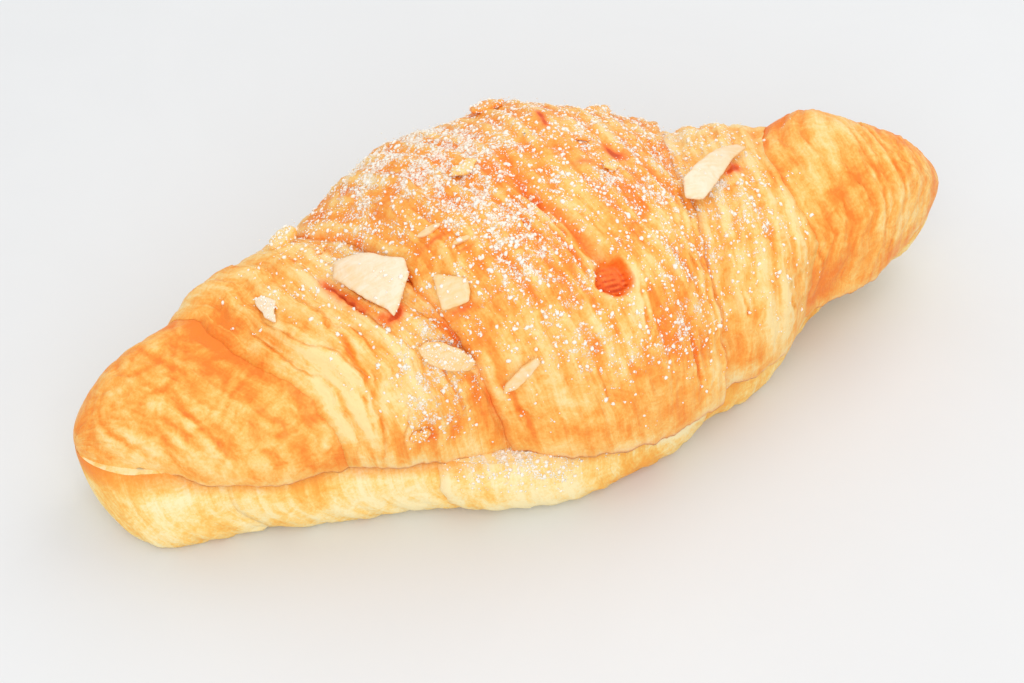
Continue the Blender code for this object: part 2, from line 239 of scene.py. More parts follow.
LID_FOLDS = (
    Fold(((-78.8, 0.242), (-76.4, 0.066), (-72.1, -0.066)), 0.8, 0.3, 0.34),
    Fold(((-78.0, -0.08), (-76.4, -0.186), (-73.7, -0.419), (-70.4, -0.671), (-69.0, -0.76)),
         0.8, 0.45, 0.28),
    Fold(((-90.4, -0.14), (-89.4, -0.242), (-86.7, -0.595), (-82.4, -0.83)), 0.9, 0.5, 0.28),
    Fold(((-82.0, -0.30), (-79.6, -0.56), (-76.8, -0.78)), 0.7, 0.3, 0.20),
    Fold(((-49.4, 0.02), (-45.8, -0.259), (-44.2, -0.387), (-42.3, -0.619), (-40.8, -0.93)),
         0.5, 0.7, 0.42),
    Fold(((-50.8, -0.33), (-48.5, -0.559), (-47.2, -0.683), (-45.4, -0.91)), 0.5, 0.6, 0.34),
    Fold(((-45.2, -0.48), (-43.9, -0.70), (-43.2, -0.90)), 0.4, 0.4, 0.26),
    Fold(((-20.4, -0.66), (-15.5, -0.848), (-13.0, -0.97)), 0.5, 0.5, 0.34),
    Fold(((-5.0, 0.03), (-2.6, -0.162), (0.0, -0.32)), 0.4, 0.4, 0.26),
    Fold(((-8.3, -0.06), (-5.6, -0.33)), 0.45, 0.4, 0.26),
    Fold(((2.6, -0.54), (2.6, -0.651), (2.3, -0.73)), 1.0, 0.2, 0.26),
    Fold(((9.9, -0.44), (9.6, -0.65)), 0.45, 0.5, 0.30),
    Fold(((18.6, -0.64), (19.6, -0.784), (20.9, -0.91)), 0.45, 0.5, 0.26),
    Fold(((70.2, 0.20), (72.1, -0.150), (73.4, -0.459), (72.7, -0.82)), 0.6, 0.5, 0.28),
    Fold(((75.2, 0.32), (77.2, -0.110), (79.1, -0.515), (78.0, -0.83)), 0.55, 0.45, 0.26),
    Fold(((52.4, -0.20), (55.0, -0.519), (56.4, -0.76)), 0.5, 0.4, 0.16),
    Fold(((33.4, -0.54), (34.9, -0.76)), 0.4, 0.4, 0.28),
    Fold(((45.2, -0.65), (46.8, -0.85)), 0.4, 0.4, 0.28),
)

# How brown each wrap is baked, from 0 for pale to 1 for dark, and where that changes
LID_BAKE = (0.50, 0.28, 0.46, 0.46, 0.30, 0.54)
LID_BAKE_PATCHES = (
    Patch(-90, 0.1, 8, 0.5, 0.20),
    Patch(-72, 0.15, 12, 0.3, 0.16),
    Patch(-74, -0.80, 16, 0.20, -0.26),
    Patch(-86, -0.45, 7, 0.25, -0.14),
    Patch(-45, -0.65, 9, 0.35, -0.12),
    Patch(-38, -0.80, 9, 0.16, -0.06),
    Patch(-66, 0.08, 10, 0.3, 0.22),
    Patch(7.6, -0.58, 1.5, 0.07, -0.5),
    Patch(9.6, -0.50, 1.1, 0.10, -0.4),
    Patch(-22, -0.2, 9, 0.5, 0.12),
    Patch(-12, -0.85, 9, 0.2, -0.14),
    Patch(2, -0.82, 11, 0.22, -0.06),
    Patch(14, -0.7, 8, 0.25, 0.16),
    Patch(-4, 0.3, 12, 0.35, 0.10),
    Patch(86, 0.0, 12, 0.9, 0.22),
    Patch(62, -0.6, 7, 0.3, 0.10),
)
LID_GAP_SHADOWS = (  # shadows painted under torn edges and almonds
    Patch(-43.9, -0.010, 1.1, 0.026, 0.9),
    Patch(-43.1, -0.050, 1.1, 0.030, 1.2),
    Patch(-42.1, -0.105, 1.1, 0.032, 1.3),
    Patch(-41.0, -0.160, 1.1, 0.032, 1.3),
    Patch(-39.7, -0.212, 1.1, 0.028, 1.0),
    Patch(-36.9, -0.279, 1.3, 0.018, 0.9),
    Patch(-35.6, -0.312, 1.4, 0.020, 1.2),
    Patch(-34.0, -0.300, 1.0, 0.028, 1.1),
    Patch(-33.0, -0.268, 0.8, 0.034, 0.8),
    Patch(-23.2, -0.40, 2.4, 0.014, 0.8),
    Patch(41.0, -0.028, 1.8, 0.015, 1.2),
    Patch(43.0, -0.008, 1.6, 0.020, 1.2),
    Patch(16.4, 0.030, 1.0, 0.026, 1.2),
    Patch(17.6, 0.008, 2.0, 0.014, 1.2),
    Patch(9.3, -0.014, 2.4, 0.009, 0.9),
    Patch(-23.7, -0.10, 2.4, 0.010, 0.9),
    Patch(-19.3, -0.19, 1.6, 0.009, 0.8),
    Patch(-34.5, -0.872, 2.2, 0.010, 1.1),
    Patch(7.3, 0.190, 0.7, 0.034, 1.3),
    Patch(6.7, 0.135, 0.7, 0.034, 1.2),
)
BASE_BAKE = (0.20, 0.25, 0.0, 0.30, 0.34)
BASE_BAKE_PATCHES = (
    Patch(-94, -0.8, 6, 0.3, 0.30),
    Patch(-80, -0.35, 10, 0.25, 0.12),
    Patch(-14, -0.9, 15, 0.3, 0.03),
    Patch(-27, -0.80, 6, 0.3, 0.22),
    Patch(-38, -0.90, 8, 0.3, -0.24),
    Patch(-57, -0.85, 7, 0.4, 0.14),
    Patch(9, -0.75, 10, 0.4, 0.80),
    Patch(34, -0.80, 12, 0.5, 0.25),
    Patch(60, -0.70, 12, 0.5, 0.20),
)

# Where the lid and the base swell or shrink, in millimetres
LID_SWELLS = (
    Patch(-82, 0.15, 11, 0.45, 3.0),
    Patch(-66, 0.45, 7, 0.35, 2.6),
    Patch(-58, 0.42, 7, 0.3, 2.4),
    Patch(-47, 0.42, 6, 0.3, 1.8),
    Patch(-21, 0.50, 9, 0.3, 2.2),
    Patch(66, 0.15, 9, 0.35, 3.8),
    Patch(85, 0.25, 8, 0.4, -2.4),
    Patch(-75, 0.35, 8, 0.3, 1.6),
    Patch(84, -0.80, 9, 0.3, -1.4),
    Patch(58, -0.92, 8, 0.25, -3.6),
)
BASE_SWELLS = (
    Patch(-90, -0.70, 9, 0.35, 3.4),
    Patch(70, -0.60, 14, 0.5, -3.6),
    Patch(61, -0.72, 9, 0.35, -3.2),
)

# Where icing sugar has fallen
TIP_SUGAR = Patch(-55, 0.10, 5, 0.18, 0.14)  # the one patch that reaches the left tip
LID_SUGAR_PATCHES = (
    Patch(-27, 0.28, 17, 0.32, 0.58),
    Patch(-12, 0.12, 14, 0.34, 0.54),
    Patch(-14, 0.50, 16, 0.28, 0.50),
    Patch(-40, -0.04, 9, 0.22, 0.40),
    Patch(-32, -0.54, 9, 0.24, 0.74),
    Patch(-30, -0.78, 7, 0.12, 0.55),
    Patch(-9, -0.32, 13, 0.30, 0.60),
    Patch(-3, -0.62, 12, 0.18, 0.34),
    Patch(12, 0.05, 13, 0.35, 0.50),
    Patch(22, -0.28, 10, 0.35, 0.42),
    Patch(19, -0.62, 9, 0.26, 0.38),
    Patch(6, -0.70, 11, 0.14, 0.30),
    Patch(38, 0.05, 11, 0.35, 0.46),
    Patch(41, -0.40, 9, 0.34, 0.46),
    Patch(30, 0.45, 20, 0.30, 0.36),
    TIP_SUGAR,
)
BASE_SUGAR_PATCHES = (
    Patch(-13, -0.97, 9, 0.12, 0.80),
    Patch(-24, -0.99, 7, 0.05, 0.60),
)


class Flake(NamedTuple):
    """A thin piece on the lid: its place, its outline there and how it is lifted."""

    name: str
    x: float  # millimetres
    side: float  # from -1 at the slice in front to 1 at the slice behind
    outline: tuple  # corners in millimetres, along the roll and up over it from its place
    thick: float
    bend: float = 0.0  # millimetres that its far ends curl down at 10 mm out
    pitch: float = 0.0  # degrees that its front edge is raised
    roll: float = 0.0  # degrees that its left edge is raised
    tone: float = 0.45  # how brown it is baked


OVAL = ((-1, 0), (-0.72, 0.68), (0, 1), (0.76, 0.66), (1, 0), (0.7, -0.7), (0, -1), (-0.74, -0.66))
SHRED = ((-1, -0.3), (-0.6, 0.7), (0.1, 0.5), (0.5, 1), (1, 0.2), (0.5, -0.4), (0, -1), (-0.5, -0.5))


def sized(outline, length, width):
    """The outline drawn to that length and width, in millimetres."""
    return tuple((length / 2 * u, width / 2 * v) for u, v in outline)


ALMOND_SLICES = (
    Flake("almond_slice_1", -36, -0.13,
          ((-6, 8.7), (-1.5, 8.2), (2.3, 5.8), (7.2, 0.6), (6.0, -4.6), (2.6, -9.2), (1.0, -9.0),
           (0.2, -6.4), (-5.6, 0.6), (-7.2, 3.0)),
          thick=0.9, bend=1.2, pitch=5, roll=4),
    Flake("almond_slice_2", -24.3, -0.33, ((-2.3, 4.6), (1, 2.8), (4, 1.2), (2.9, -2.9), (-2.8, -3.2)),
          thick=0.9, bend=1.0, pitch=4),
    Flake("almond_slice_3", -28.3, -0.56,
          ((-5, 2.3), (-3.4, 3.6), (-0.4, 3.1), (3, 0.7), (5.4, -2.3), (3.7, -3.7), (0, -3), (-3.6, -0.7)),
          thick=0.9, bend=1.6),
    Flake("almond_slice_4", -15.8, -0.69,
          ((-3.8, -3), (-3.1, -1.2), (0.3, 1.7), (3.4, 3.3), (4.2, 2.1), (2, -0.1), (-1.2, -2.6)),
          thick=1.1),
    Flake("almond_slice_5", 34.9, -0.07,
          ((-9.7, -6.6), (-8, -1.6), (-3, 2.2), (4, 6.6), (11.5, 9.4), (13.4, 8.4), (7, 4), (2.6, 0),
           (-1.4, -3.7), (-6.2, -7.6)),
          thick=0.9, bend=0.7),
)
SLICE_OUTLINES = {  # torn more finely than the frame has it
    "almond_slice_1": ((-7.7, 5.4), (-6.2, 8.9), (-2.1, 7.9), (0.7, 6.4), (4.4, 2.6), (6.6, 1.4), (6.0, -2.7),
                       (3.6, -5.9), (1.6, -8.3), (0.1, -9.6), (-0.4, -7.6), (-3.6, -3.0), (-5.6, 1.2)),
}
SLICE_SUGAR = (0.26, 0.22, 0.9, 0.10, 0.12)  # how much sugar lies on each slice
SLICE_TOAST = (0.16, 0.62, 0.75, 0.66, 0.22)  # how golden each is toasted
SLICE_FADE = (-0.022, 0.0, 0.0, 0.0, 0.028)  # and how much more so with each millimetre to the right
ALMOND_BITS = (
    Flake("bit", -54.5, 0.02,
          ((-1.8, 3.4), (-0.6, 4.2), (1.6, 1.6), (2.1, 0.4), (0.9, -1.2), (0.2, -4.6), (-1.2, -1.8)),
          thick=0.9),
    Flake("bit", -23.7, -0.06, sized(OVAL, 5.2, 1.5), thick=0.8, pitch=10),
    Flake("bit", -19.3, -0.16, sized(OVAL, 3.4, 1.2), thick=0.7, pitch=8),
)
CRUST_FLAKES = (
    Flake("flake", -45.6, 0.36, sized(OVAL, 6.5, 4.5), thick=2.0, pitch=-14, tone=0.1),
    Flake("flake", -12.3, 0.07, sized(SHRED, 6.4, 4.8), thick=0.8, pitch=4, tone=0.1),
    Flake("flake", 13.7, -0.04, sized(SHRED, 4.4, 3.4), thick=0.7, tone=0.25),
    Flake("flake", -35.3, -0.85, sized(SHRED, 4.6, 3.4), thick=1.0, pitch=4, tone=0.5),
    Flake("flake", 23, 0.36, ((-4.2, -2), (-1, 2), (3.6, 4.4), (3.8, 1), (1, -2.6)),
          thick=0.8, pitch=-18, tone=0.5),
    Flake("flake", 1.5, 0.42, ((-4, -2), (-3, 2.2), (2, 3), (4, -1), (0, -3)),
          thick=1.2, pitch=-12, tone=0.6),
    Flake("flake", 12.5, 0.06, sized(SHRED, 4.6, 2.2), thick=0.5, bend=4, tone=0.6),
    Flake("flake", -42, 0.16, sized(SHRED, 4.6, 2.6), thick=0.4, bend=5, pitch=8, tone=0.4),
)
BIT_TOAST = (0.1, 0.7, 0.7)
BIT_SUGAR = 0.2
FLAKE_SUGAR = 0.55
FLAKE_LAYERS = 0.3
PROUD = 0.7  # share of a bit's thickness that stands out of the lid
SLICE_SEED = 7.0
BIT_SEED = 23.0
FLAKE_SEED = 41.0

# How icing sugar is scattered
SUGAR_SEED = 11
LUMPS_ON = {"crust_base": 420, "almond_bits": 25, "crust_flakes": 150}
LUMPS_ON_SLICE = 36  # times how much sugar lies on it
LUMP_SPREAD = 0.42  # how uneven the lumps are in size
LUMP_RADII = (0.1 * MM, 0.45 * MM)  # the least and the most
GRAIN_RADII = (0.08, 0.22)  # millimetres
GRAIN_DRIFTS = (0.3, 0.8, 1.6)  # millimetres that small grains lie beside the lumps
PRESSED = 0.25  # share of its radius that a lump's middle stands off the ground

# The stage
FLOOR_REACH = 3.0
LOOK_AT = (-0.0092, -0.0096, 0.0256)  # what the camera looks at
SENSOR_WIDTH = 36  # millimetres
CLIP_START = 0.01
KEY_SIDE = math.radians(25)  # round from the right end towards the back
KEY_PLACE = (0.55 * math.cos(KEY_SIDE), 0.55 * math.sin(KEY_SIDE), 0.75)
KEY_SIZE = 0.7
FILL_PLACE = (-0.28, -0.62, 0.62)
FILL_SIZE = 0.8
LAMP_COLOUR = (1, 0.985, 0.96)


def paint(red, green, blue):
    """A colour as the shaders want it, from its levels up to 255."""
    levels = np.array([red, green, blue]) / 255
    linear = np.where(levels < 0.04045, levels / 12.92, ((levels + 0.055) / 1.055) ** 2.4)
    return tuple(float(value) for value in linear)


# ------------------------------------------------------------------ the form of the dough


def curve(knots, values, at):
    """A smooth curve through the values at the knots."""
    knots = np.asarray(knots, float)
    values = np.asarray(values, float)
    at = np.clip(at, knots[0], knots[-1])
    slopes = np.gradient(values, knots)
    i = np.clip(np.searchsorted(knots, at) - 1, 0, len(knots) - 2)
    span = knots[i + 1] - knots[i]
    t = (at - knots[i]) / span
    return (
        (1 + 2 * t) * (1 - t) ** 2 * values[i]
        + t * (1 - t) ** 2 * span * slopes[i]
        + t**2 * (3 - 2 * t) * values[i + 1]
        - t**2 * (1 - t) * span * slopes[i + 1]
    )


def along(size, x):
    """One of the section's sizes at X, turned from millimetres to metres."""
    knots = [section.x * MM for section in SECTIONS]
    return curve(knots, [getattr(section, size) * MM for section in SECTIONS], x)


def crossing(seam, side):
    """X of the seam at side, in metres."""
    return curve((-1, -0.5, 0, 0.5, 1), seam.crossings, side) * MM


def closing(x):
    """1 along the roll, and down to 0 round each tip."""
    into = np.clip((np.abs(x) - LENGTH / 2 + TIP_LENGTH) / TIP_LENGTH, 0, 1)
    return (1 - into**TIP_BLUNT) ** (1 / TIP_BLUNT)


def spine(x):
    """Y of the roll's middle line at X."""
    return TIP_SWEEP * (x / (LENGTH / 2)) ** 4


def power(base, exponent):
    """The power of the size of a number, with the number's sign."""
    return np.sign(base) * np.abs(base) ** exponent


def lid_skin(x, side):
    """The lid's outer surface without its ledges, as y and z."""
    turn = math.pi / 2 * (1 + side)
    reach = np.where(side < 0, along("front", x), along("back", x)) * closing(x)
    rise = np.abs(np.sin(turn)) ** (2 / DOME) * (along("top", x) - along("cut", x)) * closing(x)
    tuck = LIP_TUCK * np.exp(-rise / LIP_HEIGHT) * closing(x)
    y = spine(x) - power(np.cos(turn), 2 / DOME) * reach - np.sign(side) * tuck
    return y, along("cut", x) + rise


def base_skin(x, side):
    """The base's outer surface without its ledges, as y and z."""
    turn = math.pi / 2 * (1 + side)
    reach = np.where(side < 0, along("foot", x), along("back", x)) * closing(x)
    keel = along("keel", x) / MM
    depth = along("cut", x) - along("under", x) + FLATTENING
    down = np.abs(np.sin(turn)) ** (2 / keel) * depth * closing(x)
    middle, stretch = LEFT_TUCK_AT
    tuck = (RIM_TUCK + LEFT_TUCK * bell(x - middle, stretch)) * np.exp(-down / RIM_HEIGHT) * closing(x)
    y = spine(x) - power(np.cos(turn), 2 / keel) * reach - np.sign(side) * tuck
    return y, along("cut", x) - down


# ------------------------------------------------------------------ noise


def bumps(points, size, seed=0.0):
    """Smooth noise from about -1 to 1 at each point, with bumps `size` across."""
    spots = (points / size + seed).reshape(-1, 3)
    found = np.array([noise.noise(Vector(spot)) for spot in spots])
    return found.reshape(points.shape[:-1])


def drawn_out(flow, pitch, length, seed=0.0):
    """Noise whose bumps are `pitch` across the seams and `length` along them."""
    return bumps(flow / np.array([pitch, length, 1.0]), 1.0, seed)


def wavering(side, size, seed):
    """Noise that changes with the side alone, with bumps `size` long."""
    spots = np.zeros(side.shape + (3,))
    spots[..., 0] = side * HALF_GIRTH
    return bumps(spots, size, seed)


def shingles(place, pitch, seed, way):
    """Layers that overlap: each rises to its edge, then drops at once to the next. Way is -1 or 1."""
    warp = 0.8 * drawn_out(place.flow, 8 * MM, 20 * MM, seed)
    warp = warp + 0.3 * drawn_out(place.flow, 2.6 * MM, 8 * MM, seed + 1)
    turns = way * place.across / pitch + warp
    rest = turns - np.floor(turns)
    return np.where(rest < 0.9, rest / 0.9, (1 - rest) / 0.1)


def wrinkles(spots, size, seed):
    """Crisp little folds, from 0 between them to 1 along their crests."""
    return np.clip(1 - 3.2 * np.abs(bumps(spots, size, seed)), 0, 1)


def averaged(values, reach):
    """The values averaged over `reach` columns and points on each side."""
    for axis in (0, 1):
        pads = [(0, 0), (0, 0)]
        pads[axis] = (reach + 1, reach)
        total = np.cumsum(np.pad(values, pads, mode="edge"), axis)
        ends = total.shape[axis]
        after = np.take(total, range(2 * reach + 1, ends), axis)
        before = np.take(total, range(ends - 2 * reach - 1), axis)
        values = (after - before) / (2 * reach + 1)
    return values


def hollows(relief):
    """How far each point lies in a hollow, from about -1 on a crest to 1."""
    fine = (averaged(relief, 3) - relief) / (0.16 * MM)
    broad = (averaged(relief, 9) - averaged(relief, 2)) / (0.45 * MM)
    return np.clip(0.55 * fine + 0.45 * broad, -1, 1)


def bell(distance, width):
    """1 at a line, and less to both sides of it."""
    return np.exp(-((distance / width) ** 2))


def fading(distance, reach):
    """1 up to an edge, and less with the distance beyond it."""
    return np.exp(-np.maximum(distance, 0) / reach)


def near_cut(side, reach):
    """1 at the slice, and less with the distance up the crust from it."""
    return np.exp(-(1 - np.abs(side)) * HALF_GIRTH / reach)


def patches_at(patches, x, side):
    """The sum of the soft patches at each place."""
    total = np.zeros(np.broadcast(x, side).shape)
    for patch in patches:
        away = ((x / MM - patch.x) / patch.reach_x) ** 2 + ((side - patch.side) / patch.reach_side) ** 2
        total += patch.strength * np.exp(-away)
    return total


# ------------------------------------------------------------------ laying out the rings


class Column(NamedTuple):
    """One ring of points round the dough: where it stands and how far it lies below the skin."""

    band: int
    share: float  # from 0 at the band's left edge to 1 at its right one
    lean: float  # metres along the roll from there
    sunk: float  # metres below the skin


def edge(seams, k, side):
    """X of the torn left edge of band k, with the tips as the outer edges."""
    if k == 0:
        return np.full_like(side, -LENGTH / 2)
    if k > len(seams):
        return np.full_like(side, LENGTH / 2)
    torn = 0.9 * MM * wavering(side, 6 * MM, 3.7 * k) + 0.3 * MM * wavering(side, 2.2 * MM, 9.1 * k)
    return crossing(seams[k - 1], side) + torn * (seams[k - 1].drop > 0)


def band_length(seams, k):
    """How long band k is on the ridge."""
    ends = [-LENGTH / 2] + [seam.crossings[2] * MM for seam in seams] + [LENGTH / 2]
    return ends[k + 1] - ends[k]


def dive(seams, k, share):
    """How far band k has sunk where it goes under the wraps that cover its ends."""
    depth = 0.0
    if k < len(seams) and seams[k].over < 0:
        depth += seams[k].drop * MM * share**2
    if k > 0 and seams[k - 1].over > 0:
        depth += seams[k - 1].drop * MM * (1 - share) ** 2
    return depth


def shoulder(seam, into):
    """How far a covering wrap still lies below its full height, `into` metres from its edge."""
    return (1 - seam.crisp) * seam.drop * MM * math.exp(-((max(into, 0) / (seam.soft * MM)) ** 1.6))


def lap_columns(seam, k, share, way):
    """The columns round the edge of a wrap that lies over its neighbour."""
    columns = []
    for into, deep in LAP:
        sunk = seam.crisp * deep * seam.drop * MM + shoulder(seam, into * MM)
        columns.append(Column(k, share, way * into * seam.crisp * MM, sunk))
    return columns


def band_columns(seams, k, step):
    """The columns of band k, with the rounded edges where it lies over its neighbours."""
    length = band_length(seams, k)
    over_left = k > 0 and seams[k - 1].over < 0
    under_left = k > 0 and seams[k - 1].over > 0
    over_right = k < len(seams) and seams[k].over > 0
    under_right = k < len(seams) and seams[k].over < 0
    steps = np.linspace(0, 1, round(length / step) + 1)
    if k == 0:
        steps = 1 - np.cos(np.linspace(0, 1, round(1.3 * length / step)) * math.pi / 2)
    if k == len(seams):
        steps = np.sin(np.linspace(0, 1, round(1.3 * length / step)) * math.pi / 2)
    start = LAP_WIDTH / length if over_left else 0
    end = LAP_WIDTH / length if over_right else 0
    columns = []
    if under_left:
        columns.append(Column(k, 0, -TUCKED * seams[k - 1].crisp, seams[k - 1].drop * MM))
    if over_left:
        columns += lap_columns(seams[k - 1], k, 0, 1)
    for share in start + steps * (1 - start - end):
        sunk = dive(seams, k, share)
        if over_left:
            sunk += shoulder(seams[k - 1], share * length)
        if over_right:
            sunk += shoulder(seams[k], (1 - share) * length)
        columns.append(Column(k, share, 0, sunk))
    if over_right:
        columns += lap_columns(seams[k], k, 1, -1)[::-1]
    if under_right:
        columns.append(Column(k, 1, TUCKED * seams[k].crisp, seams[k].drop * MM))
    plain_left = k > 0 and seams[k - 1].over == 0
    return columns[1:] if plain_left else columns


class Place(NamedTuple):
    """Where each point of a crust lies, as arrays of columns by points in a ring."""

    band: np.ndarray
    share: np.ndarray
    x: np.ndarray
    side: np.ndarray
    across: np.ndarray  # metres from its left edge, or for the first band from its right one
    to_end: np.ndarray  # metres to its right edge
    sunk: np.ndarray
    flow: np.ndarray  # across the seams, along them, and a number for the wrap
    spot: np.ndarray  # in space, on the skin


def lay_out(skin, seams, step, ring):
    """The places of all points of a crust, with finer steps near the slice."""
    t = np.linspace(-1, 1, ring + 1)
    side = 0.55 * t + 0.45 * np.sin(math.pi / 2 * t)
    columns = [column for k in range(len(seams) + 1) for column in band_columns(seams, k, step)]
    band, share, lean, sunk = [np.array(values)[:, None] for values in zip(*columns)]
    edges = np.array([edge(seams, k, side) for k in range(len(seams) + 2)])
    left = edges[band[:, 0]]
    right = edges[band[:, 0] + 1]
    lapped = 0.55 + 0.9 * np.array([wavering(side, 4 * MM, 5.3 * k + 1) for k in range(len(seams) + 1)])
    x = left * (1 - share) + right * share + lean * np.clip(lapped, 0.1, 1.6)[band[:, 0]]
    to_end = (1 - share) * (right - left) - lean
    across = np.where(band == 0, -to_end, share * (right - left) + lean)
    side = np.broadcast_to(side, x.shape)
    flow = np.stack([across + band * FLOW_APART, side * HALF_GIRTH, np.zeros_like(x)], -1)
    spot = np.stack([x, *skin(x, side)], -1)
    return Place(band, share, x, side, across, to_end, np.broadcast_to(sunk, x.shape), flow, spot)


def raise_crust(skin, place, relief, torn):
    """The outer points of a crust, with its relief along the arms out of its spine and a torn edge."""
    y, z = skin(place.x, place.side)
    cut = along("cut", place.x)
    arm = np.stack([y - spine(place.x), z - cut])
    arm /= np.maximum(np.linalg.norm(arm, axis=0), 1e-9)
    points = np.stack([place.x, y, z], -1)
    lumps = LUMP_HEIGHT * bumps(points, LUMP_SIZE)
    proud = (relief + lumps - place.sunk - SKIN_IN) * closing(place.x)
    y, z = np.stack([y, z]) + arm * proud
    row = np.stack([place.x, np.sign(place.side) * EDGES_APART, np.zeros_like(y)], -1)
    wave = sum(share * bumps(row, size, seed) for share, size, seed in TORN_WAVES)
    z = z + torn * (wave - 0.25) * near_cut(place.side, TORN_REACH) * closing(place.x)
    return np.stack([place.x, y, np.maximum(z, 0)], -1)


def held_in(points):
    """The points eased back inside the frame's box in front, behind and on top."""
    held = points.copy()
    held[..., 1:] = CAD_HIGH[1:] - HELD_IN * np.log1p(np.exp((CAD_HIGH[1:] - points[..., 1:]) / HELD_IN))
    held[..., 1] = CAD_LOW[1] + HELD_IN * np.log1p(np.exp((held[..., 1] - CAD_LOW[1]) / HELD_IN))
    return held


def cut_face(outer, hollow):
    """Points across the slice from the back edge to the front one, hollowed behind each edge."""
    shares = np.array(CUT_SHARES)[None, :, None]
    face = outer[:, -1:] * (1 - shares) + outer[:, :1] * shares
    width = np.linalg.norm(outer[:, -1] - outer[:, 0], axis=1)[:, None]
    inward = np.minimum(shares[..., 0], 1 - shares[..., 0]) * width
    edge_height = outer[:, -1:, 2] * (1 - shares[..., 0]) + outer[:, :1, 2] * shares[..., 0]
    level = along("cut", face[..., 0])
    blend = np.exp(-inward / (0.8 * MM))
    face[..., 2] = edge_height * blend + (level + hollow) * (1 - blend)
    face[..., 2] += 0.12 * MM * bumps(face, 2 * MM, 230.0) * (1 - blend)
    return face


# ------------------------------------------------------------------ meshes


def new_object(name, points, faces):
    """A smooth mesh object from its points and faces."""
    data = bpy.data.meshes.new(name)
    data.from_pydata([tuple(point) for point in points], [], faces)
    data.validate()
    data.shade_smooth()
    made = bpy.data.objects.new(name, data)
    bpy.context.scene.collection.objects.link(made)
    return made


def add_map(piece, name, values):
    """A number at each point, for the materials and the sugar."""
    layer = piece.data.attributes.new(name, "FLOAT", "POINT")
    layer.data.foreach_set("value", np.ascontiguousarray(values, dtype=np.float32).ravel())


def add_flow(piece, flow):
    """Where each point lies across and along the layers, for their lines."""
    layer = piece.data.attributes.new("flow", "FLOAT_VECTOR", "POINT")
    layer.data.foreach_set("vector", np.ascontiguousarray(flow, dtype=np.float32).ravel())


def loft(name, points, maps, flow):
    """A closed skin through all rings but the first and last, which shrink to the tips."""
    columns, ring = points.shape[:2]
    inner = points[1:-1].reshape(-1, 3)
    poles = np.stack([points[0].mean(0), points[-1].mean(0)])
    rows = columns - 2
    start = np.arange(rows - 1)[:, None] * ring + np.arange(ring)[None, :]
    turn = np.arange(rows - 1)[:, None] * ring + (np.arange(ring)[None, :] + 1) % ring
    quads = np.stack([start, start + ring, turn + ring, turn], -1).reshape(-1, 4)
    faces = [tuple(quad) for quad in quads.tolist()]
    first = rows * ring
    last = (rows - 1) * ring
    for i in range(ring):
        j = (i + 1) % ring
        faces.append((first, i, j))
        faces.append((first + 1, last + j, last + i))
    piece = new_object(name, np.concatenate([inner, poles]), faces)
    for key, values in maps.items():
        add_map(piece, key, np.append(values[1:-1].ravel(), [values[0].mean(), values[-1].mean()]))
    add_flow(piece, np.concatenate([flow[1:-1].reshape(-1, 3), flow[0, :1], flow[-1, :1]]))
    return piece


def with_cut(values, cut_values):
    """Values of the outer points followed by those of the cut face."""
    return np.concatenate([values, np.broadcast_to(cut_values, (len(values), len(CUT_SHARES)))], 1)


def make_crust(name, skin, place, relief, hollow, torn, maps):
    """A lofted crust with its cut face, kept within the frame's box."""
    outer = held_in(raise_crust(skin, place, relief, torn))
    face = cut_face(outer, hollow)
    points = np.clip(np.concatenate([outer, face], 1), CAD_LOW, CAD_HIGH)
    fallen = np.clip(1.6 * maps["sugar"][:, :1], 0, 1) * (np.array(CUT_SHARES) > 0.9)
    crumb = {"bake": 0.15 + 0.5 * bumps(face, 1.8 * MM, 240.0), "layered": 0.3, "sugar": fallen}
    all_maps = {key: with_cut(values, crumb.get(key, 0.0)) for key, values in maps.items()}
    inner_flow = np.repeat(place.flow[:, -1:], len(CUT_SHARES), 1)
    return loft(name, points, all_maps, np.concatenate([place.flow, inner_flow], 1))


# ------------------------------------------------------------------ the lid


def lid_fold(place):
    """How deep the crease and its pit go at each place, and how far up the lid from the pit it is."""
    start, end = CREASE_SPAN
    side = place.side
    inside = 1 / (1 + np.exp((start - side) / 0.03)) / (1 + np.exp((side - end) / 0.05))
    wander = 0.9 * MM * wavering(side, 7 * MM, 21.0) + 0.5 * MM * wavering(side, 2.4 * MM, 22.0)
    width = CREASE_WIDTH * (1 + 0.5 * bell(side - start, 0.16))
    off = place.x - crossing(CREASE, side) + 1.3 * MM - wander
    crease = bell(np.where(off < 0, off * 1.5, off * 0.85), width) * inside
    arc = (side - PIT[1]) * along("top", place.x)
    ragged = 1 + 0.16 * drawn_out(place.flow, 2.2 * MM, 2.2 * MM, 24.0)
    away = np.hypot((place.x - PIT[0] * MM) / PIT_REACH[0], arc / PIT_REACH[1]) * ragged
    pit = np.clip((1.12 - away) / 0.42, 0, 1)
    return crease, pit**2 * (3 - 2 * pit), arc


def bared_layers(place, arc):
    """The layers bared in the pit, sagging in its middle: 0 in the lines between them, to 1."""
    off = place.x - PIT[0] * MM
    level = arc - 80 * off**2 + 0.3 * MM * bumps(place.spot, 2.5 * MM, 26.0)
    return np.abs(np.sin(math.pi * level / PIT_LAYER))


